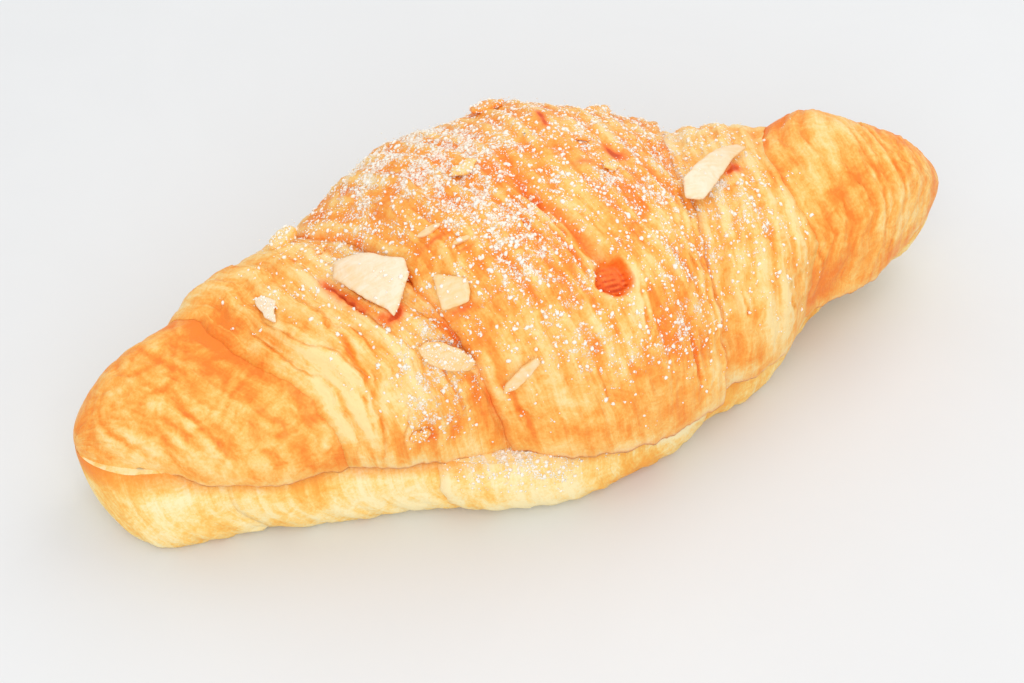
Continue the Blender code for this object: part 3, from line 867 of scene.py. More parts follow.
def folded(place):
    """How far the folds lower the lid, in metres, and how much shade is painted into them."""
    at = np.stack([place.x, place.side * HALF_GIRTH], -1)
    at = at + 0.6 * MM * bumps(place.spot, 3 * MM, 300.0)[..., None]
    broken = np.clip(0.8 + 0.9 * bumps(place.spot, 2.4 * MM, 310.0), 0.15, 1.3)
    sunk = np.zeros(place.x.shape)
    darker = np.zeros(place.x.shape)
    for fold in LID_FOLDS:
        corners = [np.array([x * MM, side * HALF_GIRTH]) for x, side in fold.path]
        lengths = [np.linalg.norm(end - start) for start, end in zip(corners, corners[1:])]
        away = np.full(place.x.shape, 1.0)
        passed = np.zeros(place.x.shape)
        for i, length in enumerate(lengths):
            run = (corners[i + 1] - corners[i]) / length
            share = np.clip((at - corners[i]) @ run, 0, length)
            far = np.linalg.norm(at - corners[i] - share[..., None] * run, axis=-1)
            passed = np.where(far < away, share + sum(lengths[:i]), passed)
            away = np.minimum(away, far)
        strength = np.clip(np.sin(math.pi * passed / sum(lengths)), 0, 1) ** 0.7 * broken
        valley = bell(away, fold.width * MM) * strength
        swelling = bell(away - 2.1 * fold.width * MM, 1.1 * fold.width * MM) * strength
        sunk += fold.depth * MM * (valley - 0.4 * swelling)
        darker += fold.bake * (valley - 0.25 * swelling)
    return sunk, darker


def swirled(place):
    """Places on the crust stirred together, so that patterns on them swirl."""
    stir = [bumps(place.spot, 11 * MM, seed) for seed in (2.0, 6.0, 9.0)]
    return place.spot + 6 * MM * np.stack(stir, -1)


def lid_layers(place):
    """Broad and fine overlapping layers on each wrap, faded in and out along them."""
    way = np.array(LAYER_WAY)[place.band]
    fade = np.clip(0.75 + 0.9 * drawn_out(place.flow, 9 * MM, 22 * MM, 15.0), 0.2, 1)
    layered = np.array(LAYERED)[place.band]
    fade = fade * layered
    fine = np.clip(0.6 + 1.2 * drawn_out(place.flow, 6 * MM, 12 * MM, 18.0), 0, 1) * layered
    broad_pitch, fine_pitch = LAYER_PITCHES
    return shingles(place, broad_pitch, 8.0, way) * fade, shingles(place, fine_pitch, 10.0, way) * fine


def both_wrinkles(place):
    """Broad and fine wrinkles that swirl over the crust."""
    swirl = swirled(place)
    broad, fine = WRINKLE_SIZES
    return wrinkles(swirl, broad, 33.0), wrinkles(swirl, fine, 36.0)


def under_lap(place):
    """True where the crust turns under the rounded edge of a wrap."""
    return (place.sunk > IN_LAP) * np.isin(place.share, (0, 1))


def layer_drop_shade(place):
    """Thin lines of painted shade along the drops of the broad layers, from 0 to 1."""
    broad = lid_layers(place)[0]
    drop = np.abs(np.gradient(broad, axis=0))
    return np.clip(drop * 1.6 - 0.25, 0, 1) * (1 - np.abs(place.side) ** 6)


def eased(place):
    """How much of its detail the dough keeps beside the seams that melt into each other."""
    kept = 1.0
    for k, share in enumerate(MELTED):
        kept = kept * (1 - share * bell(place.x - edge(LID_SEAMS, k + 1, place.side[0]), 1.0 * MM))
    return kept


def lid_relief(place):
    """How far the lid's crust stands proud of its skin."""
    flow = place.flow
    flat = 1 - np.abs(place.side) ** 6
    crease, pit, arc = lid_fold(place)
    swell = PUFF * (np.sin(math.pi * place.share) - 0.5)
    bent = 1.6 * MM * drawn_out(flow, 9 * MM, 16 * MM, 4.0)
    height = np.array(RIDGES)[place.band] * MM
    ridges = height * np.sin(2 * math.pi * (place.across + bent) / RIDGE_PITCH)
    broad, fine = lid_layers(place)
    leaves = LAYER_HEIGHTS[0] * broad + LAYER_HEIGHTS[1] * fine
    broad, fine = both_wrinkles(place)
    creased = WRINKLE_DEPTHS[0] * broad + WRINKLE_DEPTHS[1] * fine
    leaves = leaves - creased * np.array(WRINKLED)[place.band]
    threads = (0.1 * MM + height * 0.5) * drawn_out(flow, 1.25 * MM, 14 * MM, 12.0)
    blisters = BLISTER_HEIGHT * np.clip(bumps(flow, 3.4 * MM, 31.0), 0, 1)
    grain = GRAIN_HEIGHT * bumps(flow, 1.3 * MM, 40.0)
    bared = BARED_HEIGHT * bared_layers(place, arc) * pit
    off = place.x - crossing(CREASE, place.side)
    beside = bell(off + 5.5 * MM, 4 * MM) * bell(place.side + 0.28, 0.3)
    folds = CREASE_FOLDS * beside * np.sin(2 * math.pi * (off + 0.5 * bent) / CREASE_FOLD_PITCH)
    near_edge = np.exp(-place.to_end / (4 * MM)) * (place.band == 3)
    pleats = PLEAT_HEIGHT * near_edge * np.sin(2 * math.pi * place.to_end / PLEAT_PITCH)
    dough = swell + ridges + leaves + threads + blisters + grain + folds + pleats
    smooth = 1 - 0.65 * np.clip((place.side - 0.05) / 0.3, 0, 1) * np.isin(place.band, SMOOTHER_BEHIND)
    dough = dough * flat * (1 - 0.85 * pit) * eased(place) * smooth
    dough = dough + patches_at(LID_SWELLS, place.x, place.side) * MM - folded(place)[0]
    return dough - CREASE_DEPTH * crease * (1 - pit) - PIT_DEPTH * pit + bared


def lid_bake_and_shade(place, relief, kept, lines, darker):
    """How brown the lid is baked, from 0 for pale to 1 for dark, with shade painted into its hollows, folds
    and layer drops and beside its ledges.
    """
    band = place.band
    swirl = swirled(place)
    layered = np.array(LAYERED)[band]
    bake = np.array(LID_BAKE)[band] + patches_at(LID_BAKE_PATCHES, place.x, place.side)
    bake = bake + 0.44 * bumps(swirl, 10 * MM, 50.0) + 0.14 * bumps(swirl, 3.8 * MM, 60.0)
    broad, fine = lid_layers(place)
    streaks = 0.22 * drawn_out(place.flow, 4.2 * MM, 30 * MM, 70.0) * layered
    bake = bake + (streaks + 0.44 * (broad - 0.3) * layered + 0.1 * (fine - 0.3)) * kept
    broad, fine = both_wrinkles(place)
    veins = (0.14 * broad + 0.07 * fine) * np.array(WRINKLED)[band]
    # painted shade in the hollows of the relief, and a lighter tone on its crests
    bake = bake + veins + 0.2 * hollows(relief) * (1 - np.abs(place.side) ** 12)
    # darker where a wrap runs under its neighbour's ledge: browning there, and painted shade under the ledge
    lower_left = np.isin(band, LEFT_WRAPS) * fading(place.to_end, 4 * MM)
    lower_right = np.isin(band, RIGHT_WRAPS) * fading(place.across, 1.8 * MM)
    bake = bake + np.where(band == 0, 0.28, 0.2) * lower_left + 0.15 * lower_right
    stretched = (band == 1) * bell(place.across - 6 * MM, 5 * MM) * (place.side < 0)
    bake = bake - 0.1 * stretched + 0.22 * (band == 1) * bell(place.across, 3 * MM)
    sheltered = bell(place.side + 0.1, 0.5) * np.isin(band, MIDDLE_WRAPS)
    bake = bake + 0.08 * sheltered
    # paler along the slice; painted shade along the drops of the layers and in the folds
    return bake * (1 - 0.7 * near_cut(place.side, 0.9 * MM)) + 0.42 * lines + darker


def lid_painted_shade(place, fold, lines, darker, gap_shadows):
    """How much shade is painted into the lid's crevices, from 0 to 0.9, and over that how dark the shadows
    painted under its torn edges and almonds are.
    """
    crease, pit, arc = fold
    # painted shade where a wrap runs under its neighbour's ledge, and under the laps of the middle wraps
    under = np.isin(place.band, LEFT_WRAPS) * fading(place.to_end, 0.6 * MM)
    under = under + np.isin(place.band, RIGHT_WRAPS) * fading(place.across, 0.5 * MM)
    under = under * np.clip(0.55 + 0.8 * wavering(place.side, 7 * MM, 44.0), 0, 1)
    under = under * np.where(np.isin(place.band, END_WRAPS), 0.45, 1)
    lap = under_lap(place) * np.isin(place.band, MIDDLE_WRAPS)
    # painted shade in the pit: darker deeper in it and in the lines between its bared layers
    low = np.clip(0.95 - 0.35 * arc / PIT_REACH[1], 0.5, 1.1)
    hole = np.clip(1.3 * pit, 0, 1) * (1.26 - 0.5 * bared_layers(place, arc)) * low
    # painted shade along the crease
    shade_amount = (0.36 * crease + 0.42 * crease**4) * (1 + 0.6 * drawn_out(place.flow, 1 * MM, 5 * MM, 46.0))
    painted_shade = 0.6 * under + shade_amount + 0.35 * lap + 0.42 * lines * np.array(LAYERED)[place.band]
    # over 0.9, the shadows painted under torn edges and almonds
    painted_shade = np.clip(np.maximum(painted_shade * (1 - pit), hole) + gap_shadows, 0, DEEPEST_SHADE)
    # painted shadow of the slit along the lid's front edge at the slice, and more painted shade in the deeper
    # folds
    rim = near_cut(place.side, 0.35 * MM) * (place.side < 0)
    return np.clip(painted_shade + 0.35 * np.maximum(darker - 0.1, 0) + 0.6 * rim, 0, DEEPEST_SHADE)


def lid_sugar(place, fold, gap_shadows):
    """How much icing sugar lies on the lid, from 0 to 1."""
    crease, pit = fold[:2]
    clumps = 0.85 + 0.45 * bumps(place.spot, 7 * MM, 80.0) + 0.7 * bumps(place.spot, 2.6 * MM, 90.0)
    clumps = np.clip(clumps + 0.85 * bumps(place.spot, 1.1 * MM, 95.0), 0.03, 2.0)
    sugar = np.clip(patches_at(LID_SUGAR_PATCHES, place.x, place.side), 0, 1) * clumps
    sugar = sugar * (1 - 0.95 * np.clip(1.4 * pit + 0.75 * crease**2, 0, 1)) * (place.band > 0)
    on_tip = np.clip(patches_at((TIP_SUGAR,), place.x, place.side), 0, 1) * clumps
    return np.clip(sugar + on_tip * (place.band == 0), 0, 1) * np.clip(1 - 1.4 * gap_shadows, 0, 1)


def lid_maps(place, relief):
    """Where the lid is baked, where shade is painted into its crevices, folds and hollows, where sugar lies
    on it and where layers show.
    """
    fold = lid_fold(place)
    kept = eased(place)
    lines = layer_drop_shade(place) * kept
    darker = folded(place)[1]
    gap_shadows = patches_at(LID_GAP_SHADOWS, place.x, place.side)
    return {
        "bake": lid_bake_and_shade(place, relief, kept, lines, darker),
        "painted_shade": lid_painted_shade(place, fold, lines, darker, gap_shadows),
        "sugar": lid_sugar(place, fold, gap_shadows),
        "layered": np.array(LAYERED)[place.band] * kept,
    }


# ------------------------------------------------------------------ the base


def base_layers(place):
    """Overlapping layers on the base, faded in and out along them."""
    fade = np.clip(0.6 + 1.1 * drawn_out(place.flow, 8 * MM, 16 * MM, 115.0), 0, 1)
    return shingles(place, BASE_LAYER_PITCH, 108.0, 1) * fade


def base_relief(place):
    """How far the base's crust stands proud of its skin."""
    flow = place.flow
    flat = 1 - np.abs(place.side) ** 8
    bent = 1.5 * MM * drawn_out(flow, 8 * MM, 12 * MM, 104.0)
    ridges = BASE_RIDGES * np.sin(2 * math.pi * (place.across + bent) / RIDGE_PITCH)
    leaves = BASE_LAYER_HEIGHT * base_layers(place)
    threads = 0.16 * MM * drawn_out(flow, 1.2 * MM, 12 * MM, 112.0)
    swell = PUFF * (np.sin(math.pi * place.share) - 0.5)
    dough = (swell + ridges + leaves + threads + 0.1 * MM * bumps(flow, 2.6 * MM, 131.0)) * flat
    return dough + patches_at(BASE_SWELLS, place.x, place.side) * MM


def base_maps(place, relief):
    """Where the base is baked, where shade is painted under the lid's edge, in its hollows and under its
    laps, and where sugar has fallen on it.
    """
    flow = place.flow
    spot = place.spot
    bake = np.array(BASE_BAKE)[place.band] + patches_at(BASE_BAKE_PATCHES, place.x, place.side)
    bake = bake + 0.3 * bumps(spot, 10 * MM, 150.0) + 0.2 * drawn_out(flow, 3.4 * MM, 14 * MM, 170.0)
    # painted shade in the hollows of the relief, and a lighter tone on its crests
    bake = bake + 0.26 * (base_layers(place) - 0.3) + 0.16 * hollows(relief)
    down = along("cut", place.x) - spot[..., 2]
    powdered = np.clip(patches_at(BASE_SUGAR_PATCHES, place.x, place.side), 0, 1)
    powdered = powdered * np.clip(1.3 - down / (7 * MM), 0, 1)
    # painted shadow of the lid: darker just below the slice, except under sugar
    bake = bake + 0.4 * bell(down, 3.0 * MM) * (1 - powdered)
    strip = bell(place.x - 18 * MM, 8 * MM) * bell(down - 4.2 * MM, 1.6 * MM) * (place.side < 0)
    bake = bake - 1.1 * strip
    patchy = np.clip(0.8 + 0.9 * bumps(spot, 7 * MM, 160.0), 0.15, 1)
    # deep orange painted shadow right under the lid's edge, patchy, and more painted shade under the laps
    painted_shade = 0.95 * np.exp(-((down / (2.5 * MM)) ** 3)) * patchy * (1 - powdered) * (1 - strip)
    painted_shade = painted_shade + 0.1 * under_lap(place)
    clumps = np.clip(0.7 + 1.1 * bumps(spot, 2.2 * MM, 180.0) + 0.8 * bumps(spot, 1 * MM, 185.0), 0.03, 1.8)
    return {
        "bake": bake,
        "painted_shade": np.clip(painted_shade, 0, 0.9),
        "sugar": np.clip(powdered * clumps, 0, 1),
        "layered": np.full(bake.shape, 0.8),
    }


# ------------------------------------------------------------------ slices, bits and flakes


def lid_frame(flake):
    """The place on the lid's skin where a flake lies: along the roll, up over it, and outward."""
    steps = np.array([(0, 0), (-2 * MM, 0), (2 * MM, 0), (0, -0.08), (0, 0.08)])
    x = flake.x * MM + steps[:, 0]
    y, z = lid_skin(x, flake.side + steps[:, 1])
    spot, left, right, before, behind = [Vector(point) for point in np.stack([x, y, z], 1)]
    out = (right - left).cross(behind - before).normalized()
    run = (Vector((1, 0, 0)) - out * out.x).normalized()
    at = Matrix((run, out.cross(run), out)).transposed().to_4x4()
    at.translation = spot
    raised = Matrix.Rotation(math.radians(-flake.pitch), 4, "X")
    return at @ raised @ Matrix.Rotation(math.radians(flake.roll), 4, "Y")


def round_off(corners, share):
    """The outline with its corners cut."""
    cut = []
    for a, b in zip(corners, np.roll(corners, -1, axis=0)):
        cut += [a + (b - a) * share, a + (b - a) * (1 - share)]
    return np.array(cut)


# The rings of a flake from its rim inward: share of the rim's reach, and share of its thickness
FLAKE_RINGS = ((1.0, 0.12), (0.975, 0.4), (0.93, 0.68), (0.85, 0.9), (0.72, 1.0), (0.45, 1.0), (0.2, 1.0))
RIM_FROM = 0.8  # share of the reach from which the rim's skin starts


def fine_rim(outline, soft):
    """The outline in metres, with its corners cut by a share `soft` and its sides split finely."""
    rim = round_off(round_off(np.array(outline) * MM, soft), 0.25)
    sides = []
    for a, b in zip(rim, np.roll(rim, -1, axis=0)):
        count = max(1, round(np.linalg.norm(b - a) / (0.4 * MM)))
        sides.append(a + (b - a) * (np.arange(count) / count)[:, None])
    return np.concatenate(sides)


def flake_shape(flake, seed, outline=None, soft=0.2, uneven=0.12 * MM):
    """Points, faces and rim map of a thin bent plate with a ragged edge, in its own frame."""
    rim = fine_rim(outline or flake.outline, soft)
    after = np.roll(rim, -1, 0)
    if (rim[:, 0] * after[:, 1] - rim[:, 1] * after[:, 0]).sum() < 0:
        rim = rim[::-1]  # anticlockwise, so that the faces look outward
    centre = rim.mean(0)
    count = len(rim)
    ragged = bumps(np.column_stack([rim, np.full(count, seed * MM)]), 1.6 * MM, seed)
    out = (rim - centre) / np.linalg.norm(rim - centre, axis=1)[:, None]
    rim = rim + out * (ragged * 1.6 * uneven)[:, None]
    layers = []
    rims = []
    for face in (-1, 1):
        for share, full in FLAKE_RINGS:
            flat = centre + (rim - centre) * share
            sag = flake.bend * MM * (np.linalg.norm(flat, axis=1) / (10 * MM)) ** 2
            wave = uneven * bumps(np.column_stack([flat, np.zeros(count)]), 2.6 * MM, seed + 3)
            height = face * 0.5 * flake.thick * MM * full + wave - sag
            layers.append(np.column_stack([flat, height]))
            rims.append(np.full(count, max(0.0, (share - RIM_FROM) / (1 - RIM_FROM)) ** 2))
    poles = [(*centre, face * 0.5 * flake.thick * MM) for face in (-1, 1)]
    points = np.concatenate([*layers, poles])
    rim_map = np.append(np.concatenate(rims), [0, 0])
    rings = len(FLAKE_RINGS)
    faces = []
    for face in (0, 1):
        first = face * rings * count
        pole = 2 * rings * count + face
        for i in range(count):
            j = (i + 1) % count
            for ring in range(rings - 1):
                a = first + ring * count
                quad = (a + i, a + j, a + count + j, a + count + i)
                faces.append(quad if face else quad[::-1])
            inner = first + (rings - 1) * count
            fan = (inner + i, inner + j, pole)
            faces.append(fan if face else fan[::-1])
    top = rings * count
    faces += [(i, (i + 1) % count, top + (i + 1) % count, top + i) for i in range(count)]
    return points, faces, rim_map


def placed(points, at):
    """The points of a flake's own frame, moved to where it lies."""
    turn = np.array(at.to_3x3())
    return points @ turn.T + np.array(at.translation)


def ground_of(piece):
    """The piece's surface, to be hit by rays."""
    spots = [vert.co for vert in piece.data.vertices]
    return BVHTree.FromPolygons(spots, [tuple(face.vertices) for face in piece.data.polygons])


def sink(points, at, ground, thick):
    """Moves a bit along its frame until all but its proud share lies in the lid."""
    out = at.to_3x3() @ Vector((0, 0, 1))
    heights = []
    for point in points[::7]:
        hit = ground.ray_cast(Vector(point) + out * 20 * MM, -out)[0]
        if hit:
            heights.append((Vector(point) - hit).dot(out))
    lift = PROUD * thick * MM - np.percentile(heights, 55)
    return points + np.array(out) * lift


def join_shapes(name, shapes):
    """One object from several (points, faces, maps) shapes."""
    points = []
    faces = []
    maps = {}
    count = 0
    for shape_points, shape_faces, shape_maps in shapes:
        points.append(shape_points)
        faces += [tuple(corner + count for corner in face) for face in shape_faces]
        for key, values in shape_maps.items():
            maps.setdefault(key, []).append(values)
        count += len(shape_points)
    piece = new_object(name, np.clip(np.concatenate(points), CAD_LOW, CAD_HIGH), faces)
    for key, values in maps.items():
        add_map(piece, key, np.concatenate(values))
    return piece


def pressed_in(name, flakes, seed, soft, uneven, maps_of):
    """One object of flakes that are sunk into the lid, with the maps that maps_of gives for each."""
    ground = ground_of(bpy.data.objects["crust_lid"])
    shapes = []
    for i, flake in enumerate(flakes):
        points, faces, rim = flake_shape(flake, seed + i, soft=soft, uneven=uneven)
        at = lid_frame(flake)
        points = sink(placed(points, at), at, ground, flake.thick)
        shapes.append((points, faces, maps_of(i, rim)))
    return join_shapes(name, shapes)


def bit_maps(i, rim):
    """The maps of almond bit i."""
    return {"rim": rim, "sugar": np.full(len(rim), BIT_SUGAR), "toast": np.full(len(rim), BIT_TOAST[i])}


def crust_flake_maps(i, rim):
    """The maps of crust flake i."""
    return {
        "bake": CRUST_FLAKES[i].tone + 0.3 * rim,
        "painted_shade": np.zeros(len(rim)),
        "layered": np.full(len(rim), FLAKE_LAYERS),
        "sugar": np.full(len(rim), FLAKE_SUGAR),
    }


# ------------------------------------------------------------------ icing sugar


LUMP_POINTS = (
    (0, 0, 1), (0.894, 0, 0.447), (0.276, 0.851, 0.447), (-0.724, 0.526, 0.447), (-0.724, -0.526, 0.447),
    (0.276, -0.851, 0.447), (0.724, 0.526, -0.447), (-0.276, 0.851, -0.447), (-0.894, 0, -0.447),
    (-0.276, -0.851, -0.447), (0.724, -0.526, -0.447), (0, 0, -1),
)
LUMP_FACES = (
    (0, 1, 2), (0, 2, 3), (0, 3, 4), (0, 4, 5), (0, 5, 1), (1, 6, 2), (2, 7, 3), (3, 8, 4), (4, 9, 5),
    (5, 10, 1), (6, 7, 2), (7, 8, 3), (8, 9, 4), (9, 10, 5), (10, 6, 1), (11, 7, 6), (11, 8, 7),
    (11, 9, 8), (11, 10, 9), (11, 6, 10),
)
GRAIN_POINTS = ((1, 0, 0), (0, 1, 0), (-1, 0, 0), (0, -1, 0), (0, 0, 1), (0, 0, -1))
GRAIN_FACES = ((0, 1, 4), (1, 2, 4), (2, 3, 4), (3, 0, 4), (1, 0, 5), (2, 1, 5), (3, 2, 5), (0, 3, 5))


def falls_on(piece, count, rng):
    """Places and normals on a piece, chosen by area and by how much sugar lies there."""
    data = piece.data
    data.calc_loop_triangles()
    corners = np.zeros(len(data.loop_triangles) * 3, np.int32)
    data.loop_triangles.foreach_get("vertices", corners)
    corners = corners.reshape(-1, 3)
    spots = np.zeros(len(data.vertices) * 3, np.float32)
    data.vertices.foreach_get("co", spots)
    spots = spots.reshape(-1, 3).astype(float)
    sugar = np.zeros(len(data.vertices), np.float32)
    data.attributes["sugar"].data.foreach_get("value", sugar)
    a, b, c = spots[corners[:, 0]], spots[corners[:, 1]], spots[corners[:, 2]]
    normal = np.cross(b - a, c - a)
    area = np.linalg.norm(normal, axis=1)
    normal = normal / np.maximum(area, 1e-15)[:, None]
    facing = np.clip(normal[:, 2] + 0.25, 0, 1)
    weight = area * sugar[corners].mean(1) ** 1.15 * facing
    chosen = rng.choice(len(corners), count, p=weight / weight.sum())
    u, v = rng.random((2, count))
    swap = u + v > 1
    u, v = np.where(swap, 1 - u, u)[:, None], np.where(swap, 1 - v, v)[:, None]
    return a[chosen] * (1 - u - v) + b[chosen] * u + c[chosen] * v, normal[chosen]


def lumps_at(corners, sides, spots, normals, radii, rng):
    """Points and faces of a small uneven lump at each spot, pressed flat against its ground."""
    shape = np.array(corners)[None] * rng.uniform(0.6, 1.3, (len(spots), len(corners), 1))
    stretch = rng.uniform(0.75, 1.5, (len(spots), 1, 1)) * np.array([1, 0, 0]) + np.array([0, 1, 0.7])
    shape = shape * stretch
    angle = rng.uniform(0, 2 * math.pi, len(spots))
    aside = np.cross(normals, np.array([0.3, 0.2, 0.93]))
    aside /= np.linalg.norm(aside, axis=1)[:, None]
    other = np.cross(normals, aside)
    run = aside * np.cos(angle)[:, None] + other * np.sin(angle)[:, None]
    rise = np.cross(normals, run)
    local = shape[..., :1] * run[:, None] + shape[..., 1:2] * rise[:, None]
    local = local + shape[..., 2:] * normals[:, None]
    points = spots[:, None] + local * radii[:, None, None]
    points = points + normals[:, None] * (PRESSED * radii)[:, None, None]
    faces = np.array(sides)[None] + (np.arange(len(spots)) * len(corners))[:, None, None]
    return points.reshape(-1, 3), faces.reshape(-1, 3)


# ------------------------------------------------------------------ node groups


COLUMN = 200  # how far apart nodes are set out
MIX_SHARE, MIX_A, MIX_B, MIX_COLOUR = 0, 6, 7, 2  # sockets of a node that mixes colours


class Nodes:
    """Adds nodes to a tree, set out in a row, and links them."""

    def __init__(self, tree):
        self.tree = tree
        self.column = 0

    def feed(self, node, inputs):
        """Links each input that comes from a socket, and sets each that is a value."""
        for key, value in inputs.items():
            if isinstance(value, bpy.types.NodeSocket):
                self.tree.links.new(value, node.inputs[key])
            else:
                node.inputs[key].default_value = value

    def add(self, kind, inputs=None, **settings):
        node = self.tree.nodes.new(kind)
        node.location = (self.column * COLUMN, 0)
        self.column += 1
        for key, value in settings.items():
            setattr(node, key, value)
        self.feed(node, inputs or {})
        return node

    def painted(self, name):
        """The map of that name, as the piece carries it at its points."""
        return self.add("ShaderNodeAttribute", attribute_name=name).outputs["Fac"]

    def maths(self, operation, a, b=0.0, clamp=False):
        node = self.add("ShaderNodeMath", {0: a, 1: b}, operation=operation, use_clamp=clamp)
        return node.outputs[0]

    def scaled(self, value, factor, clamp=False):
        return self.maths("MULTIPLY", value, factor, clamp)

    def added(self, *values, clamp=False):
        """The sum of the values, held from 0 to 1 at the end if it is clamped."""
        total = values[0]
        for value in values[1:-1]:
            total = self.maths("ADD", total, value)
        return self.maths("ADD", total, values[-1], clamp)

    def remap(self, value, low, high, to_low=0.0, to_high=1.0):
        """The value moved from one range to another, and held inside it."""
        names = ("Value", "From Min", "From Max", "To Min", "To Max")
        inputs = dict(zip(names, (value, low, high, to_low, to_high)))
        return self.add("ShaderNodeMapRange", inputs).outputs[0]

    def swing(self, value, reach):
        """A share from 0 to 1 turned into a shift from -reach to reach."""
        return self.remap(value, 0, 1, -reach, reach)

    def grains(self, spot, size, detail, roughness, distortion=0.0):
        """Noise with grains of that size."""
        return self.add("ShaderNodeTexNoise", {
            "Vector": spot,
            "Scale": self.maths("DIVIDE", 1.0, size),
            "Detail": detail,
            "Roughness": roughness,
            "Distortion": distortion,
        }).outputs["Fac"]

    def blend(self, share, a, b):
        """Colour a where the share is 0, and colour b where it is 1."""
        inputs = {MIX_SHARE: share}
        for socket, value in ((MIX_A, a), (MIX_B, b)):
            inputs[socket] = value if isinstance(value, bpy.types.NodeSocket) else (*value[:3], 1)
        return self.add("ShaderNodeMix", inputs, data_type="RGBA").outputs[MIX_COLOUR]

    def bump(self, strength, distance, height):
        inputs = {"Strength": strength, "Distance": distance, "Height": height}
        return self.add("ShaderNodeBump", inputs).outputs["Normal"]

    def place(self, group, **inputs):
        """A shader group in the tree, with its sizes and amounts set, and its outputs."""
        node = self.add("ShaderNodeGroup", node_tree=group)
        self.feed(node, {key.replace("_", " "): value for key, value in inputs.items()})
        return node.outputs


def new_group(name, inputs, outputs):
    """An empty shader group with named numbers going in and coming out."""
    group = bpy.data.node_groups.new(name, "ShaderNodeTree")
    for label, default in inputs:
        socket = group.interface.new_socket(name=label, in_out="INPUT", socket_type="NodeSocketFloat")
        socket.default_value = default
    for label in outputs:
        group.interface.new_socket(name=label, in_out="OUTPUT", socket_type="NodeSocketFloat")
    return group


def group_named(name):
    """The shader group of that name, once it has been built."""
    return bpy.data.node_groups.get(name)


def oven_mottling():
    """Swirls where the glaze has browned unevenly, and the fine speckle on them."""
    name = "Oven Mottling"
    if group_named(name):
        return group_named(name)
    group = new_group(name, [("Size", 5 * MM), ("Speckle Size", 0.7 * MM)], ["Mottling", "Speckle"])
    nodes = Nodes(group)
    entry = nodes.add("NodeGroupInput").outputs
    spot = nodes.add("ShaderNodeTexCoord").outputs["Object"]
    swirl = nodes.grains(spot, entry["Size"], 4.0, 0.58, 1.4)
    speckle = nodes.grains(spot, entry["Speckle Size"], 3.0, 0.7)
    nodes.add("NodeGroupOutput", {
        "Mottling": nodes.remap(swirl, 0.32, 0.68),
        "Speckle": nodes.remap(speckle, 0.3, 0.7),
    })
    return group


def layer_streaks():
    """Thin lines of the dough's layers, which run along the seams."""
    name = "Layer Streaks"
    if group_named(name):
        return group_named(name)
    group = new_group(name, [("Pitch", 1.1 * MM), ("Length", 14 * MM)], ["Streaks", "Threads"])
    nodes = Nodes(group)
    entry = nodes.add("NodeGroupInput").outputs
    flow = nodes.add("ShaderNodeAttribute", attribute_name="flow").outputs["Vector"]
    found = {}
    for label, finer, detail in (("Streaks", 1.0, 3.0), ("Threads", 2.6, 2.0)):
        pitch = nodes.maths("DIVIDE", finer, entry["Pitch"])
        length = nodes.maths("DIVIDE", finer, entry["Length"])
        scale = nodes.add("ShaderNodeCombineXYZ", {"X": pitch, "Y": length, "Z": 1.0}).outputs[0]
        drawn = nodes.add("ShaderNodeVectorMath", {0: flow, 1: scale}, operation="MULTIPLY").outputs[0]
        found[label] = nodes.remap(nodes.grains(drawn, 1.0, detail, 0.6, 0.5), 0.3, 0.7)
    nodes.add("NodeGroupOutput", found)
    return group


def sugar_dust():
    """The thin powder between the grains of sugar, from the sugar map."""
    name = "Sugar Dust"
    if group_named(name):
        return group_named(name)
    group = new_group(name, [("Amount", 0.5), ("Grain Size", 0.5 * MM)], ["Dust"])
    nodes = Nodes(group)
    entry = nodes.add("NodeGroupInput").outputs
    spot = nodes.add("ShaderNodeTexCoord").outputs["Object"]
    sugar = nodes.painted("sugar")
    grains = nodes.grains(spot, entry["Grain Size"], 3.0, 0.75)
    cover = nodes.scaled(sugar, entry["Amount"])
    threshold = nodes.maths("SUBTRACT", 0.765, nodes.scaled(cover, 0.38))
    dust = nodes.scaled(nodes.maths("SUBTRACT", grains, threshold), 9.0, clamp=True)
    nodes.add("NodeGroupOutput", {"Dust": nodes.scaled(dust, nodes.remap(sugar, 0.02, 0.15))})
    return group


# ------------------------------------------------------------------ materials

DUSTED = 0.85  # how far the dust between the grains covers the colour below it
DUST_GRAIN = 0.45 * MM
TONE_STOPS = (0.02, 0.34, 0.66, 0.98)  # how brown the baked dough is at each of its four tones


def new_material(name):
    """A material, its nodes and its shader."""
    material = bpy.data.materials.new(name)
    material.use_nodes = True
    nodes = Nodes(material.node_tree)
    return material, nodes, material.node_tree.nodes["Principled BSDF"]


